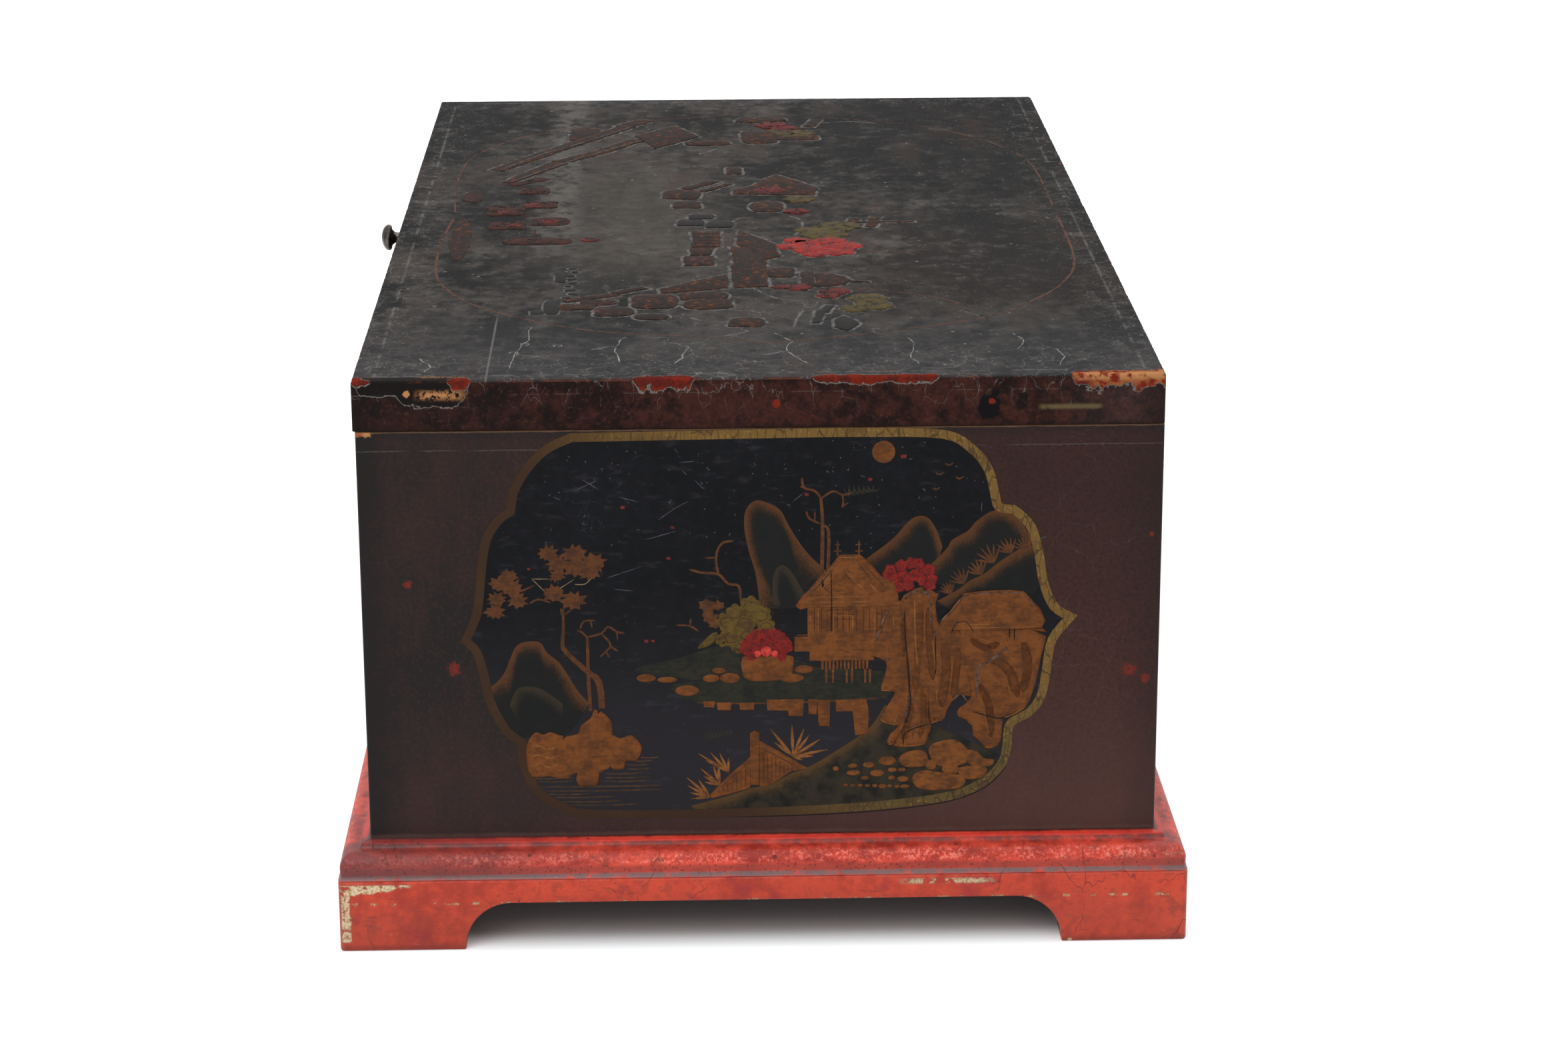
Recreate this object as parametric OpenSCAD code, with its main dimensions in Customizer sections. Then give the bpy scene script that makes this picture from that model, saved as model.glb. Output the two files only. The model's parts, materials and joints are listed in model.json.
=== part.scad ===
// Lacquered deed box on a moulded plinth with bracket feet, in millimetres.
// The origin is on the floor under the middle of the box. +X runs to the right-hand end,
// -Y is the front with the knob and the keyhole, and +Z is up. The lid is shut and unlocked.

/* [Carcass] */
// Length of the carcass from end to end
box_l = 610; // [590:1:640]
// Depth of the carcass from front to back
box_d = 330; // [320:1:345]
// Height from the floor to the top of the lid
box_h = 245; // [240:1:260]
// Thickness of the wall boards
wall_t = 11; // [11:0.5:12]
// Thickness of the bottom board
bottom_t = 8; // [7:0.5:9]
// Dovetails in each corner of the carcass
tail_count = 4; // [3:1:5]

/* [Lid] */
// Height of the lid with its top board
lid_h = 21.5; // [21:0.5:24]
// Thickness of the lid's top board
top_t = 6.5; // [6:0.5:7]
// Gap between the carcass and the shut lid
lid_gap = 0.5; // [0.4:0.1:0.6]
// How far the lid stands out past the front board
lid_reach = 1; // [0.5:0.5:1.5]

/* [Plinth] */
// How far the plinth stands out past the carcass
plinth_out = 13.5; // [12.5:0.5:15]
// Height of the plinth boards
apron_h = 31.6; // [30:0.1:34]
// Thickness of the plinth boards
apron_t = 18; // [17:0.5:19]
// Height of the moulding on the plinth boards
mould_h = 14.4; // [13:0.1:16]
// Width of a bracket foot at the floor
foot_l = 53; // [45:1:60]
// Height of the opening between the feet
opening_h = 20.8; // [20:0.1:23]
// Radius of the opening's upper corners
opening_r = 19.5; // [15:0.5:20]

/* [Knob] */
// Diameter of the knob's head
knob_d = 12.5; // [10:0.5:14]
// How far the knob stands out from the lid
knob_out = 10.9; // [9.5:0.1:12.5]
// Height of the knob's middle above the underside of the lid
knob_up = 12; // [8:0.5:12]

/* [Hinges] */
// Distance of each hinge from the middle of the box
hinge_x = 205; // [180:1:220]
// Length of a hinge
hinge_l = 50; // [45:1:60]
// Diameter of the knuckles
knuckle_d = 5; // [4.8:0.1:5.4]
// Diameter of the hinge pins
pin_d = 2.2; // [2:0.1:2.4]
// Thickness of the leaves
leaf_t = 1.2; // [1:0.1:1.3]

/* [Lock] */
// Width of the lock plate
plate_w = 76; // [74:1:84]
// Height of the lock plate
plate_h = 38; // [37:0.5:42]
// How far the bolt slides when the key turns
bolt_throw = 6.5; // [6:0.1:6.8]
// Distance of each staple from the middle of the lock
staple_x = 14; // [13.5:0.1:14.5]
// Diameter of the round part of the keyhole
keyhole_d = 7; // [6.5:0.1:7.5]

/* [Hidden] */
$fn = 48;
// Oversize of a cutter past the face that it cuts
over = 1;

// Heights and half sizes that follow from the driving dimensions
half_l = box_l / 2;
half_d = box_d / 2;
wall_z = apron_h + bottom_t;
seam_z = box_h - lid_h - lid_gap;
lid_z = box_h - lid_h;
top_z = box_h - top_t;
wall_h = seam_z - wall_z;
rim_h = lid_h - top_t;
front_y = -half_d - lid_reach;
inner_y = wall_t - half_d;

// Dovetails: the root's share of the pitch, and how much each side spreads per millimetre
tail_root = 0.66;
tail_slope = 1 / 6;

// Hinges: the pin's axis, and the clearances round the knuckles
knuckle_gap = 0.1;
pivot_y = half_d + knuckle_gap + knuckle_d / 2;
pivot_z = seam_z + lid_gap / 2;
leaf_gap = 0.1;
leaf_in = 9;
leaf_clear = 0.25;
knuckles = 5;
knuckle_l = hinge_l / knuckles;
pin_clear = 0.05;
pin_head_d = 3.6;
pin_head_h = 0.8;
leaf_screw_x = [-17, 0, 17];

// Screws: shank and head diameters, and lengths
screw_d = 2.2;
screw_head_d = 4.2;
leaf_screw_l = 12;
lock_screw_l = 7;
link_screw_l = 10;
slot_w = 0.6;
slot_deep = 0.5;

// Nails and pins of the woodwork
nail_d = 1.8;
nail_head_d = 3.6;
nail_head_h = 0.8;
bottom_nail_l = 24;
bottom_nail_in = 7;
lid_nail_l = 18;
mould_pin_d = 1.4;
mould_pin_l = 20;
mould_pin_bury = 1.2;

// Lock: depth in the front board, and the layers across it
lock_depth = 8;
plate_t = 1.2;
cap_t = 1;
selvedge_t = 1.6;
case_w = 60;
case_wall = 1;
case_margin = 1;
plate_y = inner_y - plate_t;
cap_y = inner_y - lock_depth;
bolt_y = (plate_y + cap_y + cap_t) / 2;
bolt_t = 2;
run = 0.05;
selvedge_z = seam_z - selvedge_t;
plate_z = seam_z - plate_h;
case_z = plate_z + case_margin;
selvedge_front = cap_y - 1;

// Lock: the staples of the link plate, and the slots that they drop through
staple_w = 3;
staple_d = 4.6;
staple_drop = 10;
eye_d = 2.6;
eye_h = 5.5;
eye_foot = 1.5;
staple_clear = 0.4;
link_t = 1.6;
link_w = 52;
link_front = 4;
link_screw_x = 21;

// Lock: the bolt, with heights below the top edge of the front board
bar_top = 11;
bar_h = 8;
bar_left = -27.5;
bar_right = 20.5;
finger_h = 4;
finger_l = 6;
finger_low = 7.2;
post_w = 3;
finger_gap = 0.8;
slot_drop = 14.5;
stud_x = [-18, 16];
stud_d = 2.4;
stud_head_d = 4;
stud_head_h = 1;
talon_r = 3;

// Lock: keyhole, drill pin, ward and back spring
key_drop = 25;
keyhole_slot_w = 3;
keyhole_slot_l = 9;
drill_d = 3;
drill_l = 5.3;
ward_r = 5;
ward_t = 0.8;
ward_h = 1.6;
ward_gap = 80;
spring_t = 0.5;
spring_w = 1.6;
spring_run = 14;
spring_foot = 3;
spring_steps = 12;
spring_clear = 0.15;

// Escutcheon on the front, with pins that stop short of the lock
escutcheon_t = 1.2;
escutcheon_w = 17;
escutcheon_rise = 8;
escutcheon_pin_d = 1.6;
escutcheon_pin_l = 3.8;

// Section of the moulding at its nominal size: a sloping ledge, a hollow, an ovolo and a small cove
section = [13.5, 14.4];
ledge_drop = 0.9;
hollow = [1.5, 2.3];
ovolo = [5.7, 6];
cove = [0.9, 2];

// Knob: collar, neck flaring into the head with its rounded rim, domed face, and a tang in the lid
tang_d = 3.2;
tang_l = 9;
neck_r = 2.4;
neck_l = 2;
collar_r = 3.1;
collar_h = 0.9;
dome_h = 3.4;
head_rim = [1.2, 1.4];
knob_z = lid_z + knob_up;

// Blocks glued inside the plinth
corner_block = 22;
block_lift = 1;
rub_l = 50;
rub_w = 12;
rub_h = 9;

black = [0.09, 0.085, 0.085];
brown = [0.22, 0.11, 0.09];
red = [0.6, 0.16, 0.11];
pine = [0.72, 0.55, 0.36];
iron = [0.28, 0.27, 0.26];
brass = [0.66, 0.5, 0.25];
bronze = [0.2, 0.16, 0.14];

// Shapes shared by several pieces

// Points along part of an ellipse, from one angle to another
function arc(centre, radii, from, to, steps = 8) = [
    for (i = [0 : steps])
        let (turn = from + (to - from) * i / steps)
            centre + [radii[0] * cos(turn), radii[1] * sin(turn)]
];

// Stands an outline drawn in X and Z up as a board, with its far face at y = 0
module upright(thick) {
    rotate([90, 0, 0])
        linear_extrude(thick)
            children();
}

// Puts a copy at each end of the box, the second one turned half round
module both_ends() {
    for (turn = [0, 180])
        rotate(turn)
            children();
}

// A countersunk screw, head up, with the top of its head at z = 0
module screw_blank(length) {
    head_h = (screw_head_d - screw_d) / 2;
    rotate_extrude()
        polygon([
            [0, 0], [screw_head_d / 2, 0], [screw_d / 2, -head_h],
            [screw_d / 2, screw_d - length], [0, -length]
        ]);
}

module screw(length) {
    difference() {
        screw_blank(length);
        translate([-screw_head_d, -slot_w / 2, -slot_deep])
            cube([2 * screw_head_d, slot_w, slot_deep + over]);
    }
}

// A nail, head up, with the top of its head at z = 0
module nail(length) {
    rotate_extrude()
        polygon([
            [0, 0], [nail_head_d / 2, 0], [nail_head_d / 2, -nail_head_h],
            [nail_d / 2, -nail_head_h], [nail_d / 2, nail_d - length], [0, -length]
        ]);
}

// Woodwork of the carcass

function tail_width(pitch, x) = tail_root * pitch + 2 * tail_slope * (x - half_l + wall_t);

// The tails at both ends of a long board, drawn in X and Z. They run back past their roots,
// and beyond their tips by extra.
module tail_outline(height, count, extra = 0) {
    pitch = height / count;
    inner = half_l - wall_t - over;
    outer = half_l + extra;
    root = tail_width(pitch, inner) / 2;
    tip = tail_width(pitch, outer) / 2;
    for (turn = [0, 180], i = [0 : count - 1])
        translate([0, (i + 0.5) * pitch])
            rotate(turn)
                polygon([[inner, -root], [outer, -tip], [outer, tip], [inner, root]]);
}

module long_board(height, count, thick) {
    upright(thick) {
        tail_outline(height, count);
        translate([wall_t - half_l, 0])
            square([box_l - 2 * wall_t, height]);
    }
}

// The room that the tails of a front and a back board take out of the end boards
module tail_sockets(height, count, front_t) {
    translate([0, inner_y, 0])
        upright(front_t + over)
            tail_outline(height, count, over);
    translate([0, half_d + over, 0])
        upright(wall_t + over)
            tail_outline(height, count, over);
}

module front_board() {
    color(brown)
        difference() {
            translate([0, inner_y, wall_z])
                long_board(wall_h, tail_count, wall_t);
            lock_room();
            keyhole(-half_d - over, wall_t, 0.4);
            lock_screw_places()
                screw_blank(lock_screw_l);
            escutcheon_pin_blanks();
            bottom_nails_placed();
        }
}

module back_board() {
    color(brown)
        difference() {
            translate([0, half_d, wall_z])
                long_board(wall_h, tail_count, wall_t);
            leaf_room(false);
            leaf_screw_places(false)
                screw_blank(leaf_screw_l);
            bottom_nails_placed();
        }
}

module right_end_board() {
    color(brown)
        difference() {
            translate([half_l - wall_t, -half_d, wall_z])
                cube([wall_t, box_d, wall_h]);
            translate([0, 0, wall_z])
                tail_sockets(wall_h, tail_count, wall_t);
            bottom_nails_placed();
        }
}

module left_end_board() {
    rotate(180)
        right_end_board();
}

module bottom_board() {
    color(pine)
        difference() {
            translate([-half_l, -half_d, apron_h])
                cube([box_l, box_d, bottom_t]);
            bottom_nails_placed();
            moulding_pins_placed();
        }
}

// Nails driven up through the bottom board into the walls
module bottom_nails_placed() {
    both_ends() {
        for (x = [-240 : 120 : 240])
            translate([x, bottom_nail_in - half_d, apron_h])
                mirror([0, 0, 1])
                    nail(bottom_nail_l);
        for (y = [-90 : 90 : 90])
            translate([half_l - bottom_nail_in, y, apron_h])
                mirror([0, 0, 1])
                    nail(bottom_nail_l);
    }
}

module bottom_nails() {
    color(iron)
        bottom_nails_placed();
}

// Plinth: boards with bracket feet, mitred at the corners, and a moulding on top

// Plan of a mitred length along the front, from one offset of the carcass face to another
module mitred_plan(half_run, half_off, outside, inside) {
    polygon([
        [-half_run - outside, -half_off - outside], [half_run + outside, -half_off - outside],
        [half_run - inside, inside - half_off], [inside - half_run, inside - half_off]
    ]);
}

module opening_outline(width) {
    half_w = width / 2;
    translate([-half_w, -over])
        square([width, opening_h - opening_r + over]);
    translate([opening_r - half_w, -over])
        square([width - 2 * opening_r, opening_h + over]);
    for (side = [-1, 1])
        translate([side * (half_w - opening_r), opening_h - opening_r])
            circle(opening_r);
}

module apron(half_run, half_off) {
    length = 2 * (half_run + plinth_out);
    color(red)
        difference() {
            linear_extrude(apron_h)
                mitred_plan(half_run, half_off, plinth_out, apron_t - plinth_out);
            translate([0, apron_t - half_off, 0])
                upright(2 * apron_t)
                    opening_outline(length - 2 * foot_l);
        }
}

module front_apron() {
    apron(half_l, half_d);
}

module back_apron() {
    rotate(180)
        apron(half_l, half_d);
}

module right_apron() {
    rotate(90)
        apron(half_d, half_l);
}

module left_apron() {
    rotate(-90)
        apron(half_d, half_l);
}

// Section of the moulding: x is the offset from the carcass, y the height above the plinth board
module moulding_section() {
    hollow_in = section[0] - cove[0] - ovolo[0];
    hollow_top = section[1] - ledge_drop;
    ovolo_z = hollow_top - hollow[1] - ovolo[1];
    points = concat(
        [[0, 0], [0, section[1]]],
        arc([hollow_in, hollow_top], hollow, 180, 270),
        arc([hollow_in, ovolo_z], ovolo, 90, 0),
        arc([section[0], cove[1]], cove, 180, 270)
    );
    polygon([for (p = points) [p[0] * plinth_out / section[0], p[1] * mould_h / section[1]]]);
}

module moulding(half_run, half_off) {
    color(red)
        difference() {
            intersection() {
                translate([0, 0, apron_h - over])
                    linear_extrude(mould_h + 2 * over)
                        mitred_plan(half_run, half_off, plinth_out + over, 0);
                translate([half_run + 2 * plinth_out, -half_off, apron_h])
                    rotate([90, 0, -90])
                        linear_extrude(2 * half_run + 4 * plinth_out)
                            moulding_section();
            }
            children();
        }
}

module front_moulding() {
    moulding(half_l, half_d)
        moulding_pins_placed();
}

module back_moulding() {
    rotate(180)
        front_moulding();
}

module right_moulding() {
    rotate(90)
        moulding(half_d, half_l)
            rotate(-90)
                moulding_pins_placed();
}

module left_moulding() {
    rotate(180)
        right_moulding();
}

// Headless pins, punched below the surface, that hold the moulding to the bottom board's edge
module moulding_pins_placed() {
    reach = plinth_out - mould_pin_bury;
    height = apron_h + 0.45 * bottom_t;
    both_ends() {
        for (x = [-255 : 170 : 255])
            translate([x, -half_d - reach, height])
                rotate([-90, 0, 0])
                    cylinder(d = mould_pin_d, h = mould_pin_l);
        for (y = [-135 : 90 : 135])
            translate([half_l + reach, y, height])
                rotate([0, -90, 0])
                    cylinder(d = mould_pin_d, h = mould_pin_l);
    }
}

module moulding_pins() {
    color(iron)
        moulding_pins_placed();
}

// Square blocks glued into the corners of the plinth, just clear of the floor
module corner_blocks() {
    in_x = half_l + plinth_out - apron_t - corner_block;
    in_y = half_d + plinth_out - apron_t - corner_block;
    color(pine)
        for (sx = [0, 1], sy = [0, 1])
            mirror([sx, 0, 0])
                mirror([0, sy, 0])
                    translate([in_x, in_y, block_lift])
                        cube([corner_block, corner_block, apron_h - block_lift]);
}

// Three-cornered blocks rubbed in under the bottom board, against the plinth boards
module rub_blocks() {
    color(pine)
        both_ends() {
            for (x = [-180 : 120 : 180])
                translate([x, apron_t - plinth_out - half_d, apron_h])
                    rub_block();
            for (y = [-45 : 90 : 45])
                translate([half_l + plinth_out - apron_t, y, apron_h])
                    rotate(90)
                        rub_block();
        }
}

module rub_block() {
    translate([rub_l / 2, 0, 0])
        rotate([90, 0, -90])
            linear_extrude(rub_l)
                polygon([[0, 0], [0, -rub_h], [-rub_w, 0]]);
}

// Lid

module lid_top_board() {
    color(black)
        difference() {
            translate([-half_l, front_y, top_z])
                cube([box_l, half_d - front_y, top_t]);
            lid_nails_placed();
        }
}

module lid_front_rim() {
    color(black)
        difference() {
            translate([0, inner_y, lid_z])
                long_board(rim_h, 1, inner_y - front_y);
            knob_tang();
            link_room();
            link_screw_places()
                screw_blank(link_screw_l);
            lid_nails_placed();
        }
}

module lid_back_rim() {
    color(black)
        difference() {
            translate([0, half_d, lid_z])
                long_board(rim_h, 1, wall_t);
            leaf_room(true);
            leaf_screw_places(true)
                screw_blank(leaf_screw_l);
            lid_nails_placed();
        }
}

module lid_end_rim(side) {
    color(brown)
        difference() {
            translate([side * (half_l - wall_t / 2) - wall_t / 2, front_y, lid_z])
                cube([wall_t, half_d - front_y, rim_h]);
            translate([0, 0, lid_z])
                tail_sockets(rim_h, 1, inner_y - front_y);
            lid_nails_placed();
        }
}

module lid_left_rim() {
    lid_end_rim(-1);
}

module lid_right_rim() {
    lid_end_rim(1);
}

// Nails driven down through the top board into the rim
module lid_nails_placed() {
    for (x = [-250 : 100 : 250], side = [-1, 1])
        translate([x, side * (half_d - wall_t / 2), box_h])
            nail(lid_nail_l);
    for (y = [-80 : 80 : 80], side = [-1, 1])
        translate([side * (half_l - wall_t / 2), y, box_h])
            nail(lid_nail_l);
}

module lid_nails() {
    color(iron)
        lid_nails_placed();
}

module knob_tang() {
    translate([0, front_y, knob_z])
        rotate([-90, 0, 0])
            cylinder(d = tang_d, h = tang_l);
}

module lid_knob() {
    radius = knob_d / 2;
    widest = knob_out - dome_h;
    neck_end = collar_h + neck_l;
    flare = radius - head_rim.x;
    outline = concat(
        [[0, 0], [collar_r, 0], [collar_r, collar_h / 2], [neck_r, collar_h]],
        arc([flare, neck_end], [flare - neck_r, widest - head_rim.y - neck_end], 180, 90),
        arc([flare, widest], head_rim, 270, 360),
        arc([0, widest], [radius, dome_h], 0, 90)
    );
    color(bronze) {
        translate([0, front_y, knob_z])
            rotate([90, 0, 0])
                rotate_extrude()
                    polygon(outline);
        knob_tang();
    }
}

// Butt hinges: leaves let into the edges, knuckles standing just behind the back

// Where the hinge on one side is, with the pin's axis as the new X axis
module at_hinge(side) {
    translate([side * hinge_x, pivot_y, pivot_z])
        children();
}

// The knuckles take turns: the lower leaf has the first, third and fifth, the upper leaf the rest
module leaf(side, upper) {
    reach = pivot_y - half_d + leaf_in;
    cut_back = knuckle_d / 2 + leaf_clear;
    bore_d = pin_d + (upper ? 2 * pin_clear : 0);
    color(brass)
        difference() {
            at_hinge(side)
                mirror([0, 0, upper ? 1 : 0])
                    difference() {
                        union() {
                            translate([-hinge_l / 2, -reach, -leaf_gap / 2 - leaf_t])
                                cube([hinge_l, reach - cut_back, leaf_t]);
                            for (i = [upper ? 1 : 0 : 2 : knuckles - 1])
                                knuckle(i, cut_back);
                        }
                        rotate([0, 90, 0])
                            cylinder(d = bore_d, h = 2 * hinge_l, center = true);
                    }
            leaf_screw_places(upper)
                screw_blank(leaf_screw_l);
        }
}

module knuckle(i, cut_back) {
    gap = leaf_gap;
    translate([i * knuckle_l - hinge_l / 2 + gap, 0, 0]) {
        translate([0, -cut_back - over, -leaf_gap / 2 - leaf_t])
            cube([knuckle_l - 2 * gap, cut_back + over, leaf_t]);
        rotate([0, 90, 0])
            cylinder(d = knuckle_d, h = knuckle_l - 2 * gap);
    }
}

module left_lower_leaf() {
    leaf(-1, false);
}

module right_lower_leaf() {
    leaf(1, false);
}

module left_upper_leaf() {
    leaf(-1, true);
}

module right_upper_leaf() {
    leaf(1, true);
}

// The shallow pockets that the leaves lie in
module leaf_room(upper) {
    for (side = [-1, 1])
        at_hinge(side)
            mirror([0, 0, upper ? 1 : 0])
                translate([-hinge_l / 2, half_d - leaf_in - pivot_y, -leaf_gap / 2 - leaf_t])
                    cube([hinge_l, leaf_in + over, leaf_t + over]);
}

module leaf_screw_places(upper) {
    for (side = [-1, 1], x = leaf_screw_x)
        at_hinge(side)
            translate([x, half_d - leaf_in / 2 - pivot_y, (upper ? 1 : -1) * leaf_gap / 2])
                mirror([0, 0, upper ? 1 : 0])
                    children();
}

module lower_leaf_screws() {
    color(brass)
        leaf_screw_places(false)
            screw(leaf_screw_l);
}

module upper_leaf_screws() {
    color(brass)
        leaf_screw_places(true)
            screw(leaf_screw_l);
}

module hinge_pin(side) {
    color(brass)
        at_hinge(side)
            rotate([0, 90, 0]) {
                cylinder(d = pin_d, h = hinge_l, center = true);
                for (end = [0, 1])
                    mirror([0, 0, end])
                        translate([0, 0, hinge_l / 2])
                            cylinder(d = pin_head_d, h = pin_head_h);
            }
}

module left_hinge_pin() {
    hinge_pin(-1);
}

module right_hinge_pin() {
    hinge_pin(1);
}

// Box lock let into the front board from inside, with a sliding hooked bolt

// The room that the lock takes out of the front board
module lock_room() {
    translate([-plate_w / 2, selvedge_front, selvedge_z])
        cube([plate_w, inner_y - selvedge_front + over, selvedge_t + over]);
    translate([-plate_w / 2, plate_y, plate_z])
        cube([plate_w, plate_t + over, plate_h + over]);
    translate([-case_w / 2, cap_y, case_z])
        cube([case_w, lock_depth + over, plate_h]);
}

// The keyhole as a cutter from y, of this depth, and wider all round by extra
module keyhole(y, depth, extra = 0) {
    translate([0, y + depth + over, seam_z - key_drop])
        upright(depth + over) {
            circle(keyhole_d / 2 + extra);
            translate([-keyhole_slot_w / 2 - extra, -keyhole_slot_l - extra])
                square([keyhole_slot_w + 2 * extra, keyhole_slot_l]);
        }
}

module lock_screw_places() {
    for (side = [-1, 1], drop = [17, 31])
        translate([side * (plate_w / 2 - 4), inner_y, seam_z - drop])
            rotate([-90, 0, 0])
                children();
    for (side = [-1, 1])
        translate([side * (plate_w / 2 - 4), bolt_y, seam_z])
            children();
}

module lock_plate() {
    color(iron)
        difference() {
            translate([-plate_w / 2, plate_y, plate_z])
                cube([plate_w, plate_t, plate_h - selvedge_t]);
            lock_screw_places()
                screw_blank(lock_screw_l);
        }
}

module lock_selvedge() {
    slot_x = staple_w + 2 * staple_clear;
    slot_y = staple_d + 2 * staple_clear;
    color(iron)
        difference() {
            translate([-plate_w / 2, selvedge_front, selvedge_z])
                cube([plate_w, inner_y - selvedge_front, selvedge_t]);
            for (side = [-1, 1])
                translate([side * staple_x, bolt_y, seam_z])
                    cube([slot_x, slot_y, 4 * selvedge_t], center = true);
            lock_screw_places()
                screw_blank(lock_screw_l);
        }
}

module lock_case() {
    depth = plate_y - cap_y - cap_t;
    color(iron)
        difference() {
            translate([-case_w / 2, cap_y + cap_t, case_z])
                cube([case_w, depth, selvedge_z - case_z]);
            translate([case_wall - case_w / 2, cap_y, case_z + case_wall])
                cube([case_w - 2 * case_wall, lock_depth, plate_h]);
        }
}

module lock_cap() {
    color(iron)
        difference() {
            translate([-case_w / 2, cap_y, case_z])
                cube([case_w, cap_t, selvedge_z - case_z]);
            keyhole(cap_y - over, cap_t + over);
        }
}

// Headed studs on the lock plate that carry the bolt in its two slots
module lock_studs() {
    collar_l = plate_y - bolt_y - bolt_t / 2 - run;
    shank_l = collar_l + bolt_t + 2 * run;
    color(iron)
        for (x = stud_x)
            translate([x, plate_y, seam_z - slot_drop])
                rotate([90, 0, 0]) {
                    cylinder(d = stud_head_d, h = collar_l);
                    cylinder(d = stud_d, h = shank_l + stud_head_h / 2);
                    translate([0, 0, shank_l])
                        cylinder(d = stud_head_d, h = stud_head_h);
                }
}

module drill_pin() {
    color(iron)
        translate([0, plate_y, seam_z - key_drop])
            rotate([90, 0, 0])
                cylinder(d = drill_d, h = drill_l);
}

// A plain ward round the drill pin, open below where the key goes in
module lock_ward() {
    color(iron)
        translate([0, plate_y, seam_z - key_drop])
            rotate([90, 0, 0])
                rotate(ward_gap / 2 - 90)
                    rotate_extrude(angle = 360 - ward_gap)
                        translate([ward_r - ward_t / 2, 0])
                            square([ward_t, ward_h]);
}

module lock_screws() {
    color(iron)
        lock_screw_places()
            screw(lock_screw_l);
}

module slot_outline() {
    reach = stud_d / 2 + run;
    for (x = stud_x) {
        translate([x - bolt_throw, -slot_drop])
            circle(reach);
        translate([x, -slot_drop])
            circle(reach);
        translate([x - bolt_throw, -slot_drop - reach])
            square([bolt_throw, 2 * reach]);
    }
}

// The bolt at rest is unlocked: both hooks stand clear of the staples, to their left
module lock_bolt() {
    color(iron)
        translate([0, bolt_y + bolt_t / 2, seam_z])
            upright(bolt_t)
                difference() {
                    union() {
                        translate([bar_left, -bar_top - bar_h])
                            square([bar_right - bar_left, bar_h]);
                        for (side = [-1, 1])
                            translate([side * staple_x - staple_w / 2 - finger_gap, 0])
                                hook_outline();
                    }
                    slot_outline();
                    translate([-bolt_throw / 2, -bar_top - bar_h])
                        circle(talon_r);
                }
}

// One hook with its tip at x = 0
module hook_outline() {
    low = -finger_low;
    translate([-finger_l - post_w, -bar_top - over])
        square([post_w, bar_top + over + low + finger_h]);
    translate([-finger_l - over, low])
        square([finger_l + over - finger_h / 2, finger_h]);
    translate([-finger_h / 2, low + finger_h / 2])
        circle(finger_h / 2);
}

// Leaf spring under the tail of the bolt, which rubs on the floor of the case
module back_spring() {
    top = -bar_top - bar_h;
    drop = (seam_z + top) - (case_z + case_wall) - spring_clear - spring_t / 2;
    along = [for (i = [0 : spring_steps]) i / spring_steps];
    lower = [for (s = along) [spring_foot + spring_run * s, -spring_t / 2 - drop * s * (2 - s)]];
    slope = [for (s = along) [2 * drop * (1 - s), spring_run]];
    upper = [for (i = [0 : spring_steps]) lower[i] + spring_t * slope[i] / norm(slope[i])];
    color(iron)
        translate([bar_left, bolt_y + spring_w / 2, seam_z + top])
            upright(spring_w) {
                translate([0, -spring_t])
                    square([spring_foot + 1, spring_t]);
                polygon(concat(lower, [for (i = [spring_steps : -1 : 0]) upper[i]]));
            }
}

// Link plate let into the lid, with the two staples that the hooks catch
module link_plate() {
    color(iron)
        difference() {
            union() {
                translate([-link_w / 2, bolt_y - link_front, lid_z])
                    cube([link_w, inner_y - bolt_y + link_front, link_t]);
                for (side = [-1, 1])
                    translate([side * staple_x - staple_w / 2, bolt_y - staple_d / 2, lid_z - staple_drop])
                        cube([staple_w, staple_d, staple_drop + link_t / 2]);
            }
            translate([0, bolt_y, lid_z - staple_drop + eye_foot + eye_h / 2])
                cube([link_w, eye_d, eye_h], center = true);
            link_screw_places()
                screw_blank(link_screw_l);
        }
}

module link_room() {
    translate([-link_w / 2, bolt_y - link_front, lid_z - over])
        cube([link_w, inner_y - bolt_y + link_front + over, link_t + over]);
}

module link_screw_places() {
    for (side = [-1, 1])
        translate([side * link_screw_x, bolt_y, lid_z])
            mirror([0, 0, 1])
                children();
}

module link_plate_screws() {
    color(iron)
        link_screw_places()
            screw(link_screw_l);
}

// Brass plate round the keyhole: two round ends joined by a straight middle
module escutcheon_outline() {
    radius = escutcheon_w / 2;
    low = escutcheon_rise / 2 - keyhole_slot_l;
    for (y = [low, escutcheon_rise / 2])
        translate([0, y])
            circle(radius);
    translate([-radius, low])
        square([escutcheon_w, escutcheon_rise / 2 - low]);
}

module escutcheon() {
    color(brass)
        difference() {
            translate([0, -half_d, seam_z - key_drop])
                upright(escutcheon_t)
                    escutcheon_outline();
            keyhole(-half_d - escutcheon_t - over, escutcheon_t + over);
            escutcheon_pin_blanks();
        }
}

// Pins through the top and the bottom of the escutcheon
module escutcheon_pin_blanks() {
    low = escutcheon_rise / 2 - keyhole_slot_l;
    reach = escutcheon_w / 2 - 2.2;
    for (z = [low - reach, escutcheon_rise / 2 + reach])
        translate([0, -half_d - escutcheon_t, seam_z - key_drop + z])
            rotate([-90, 0, 0])
                cylinder(d = escutcheon_pin_d, h = escutcheon_pin_l);
}

module escutcheon_pins() {
    color(brass)
        escutcheon_pin_blanks();
}

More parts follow.
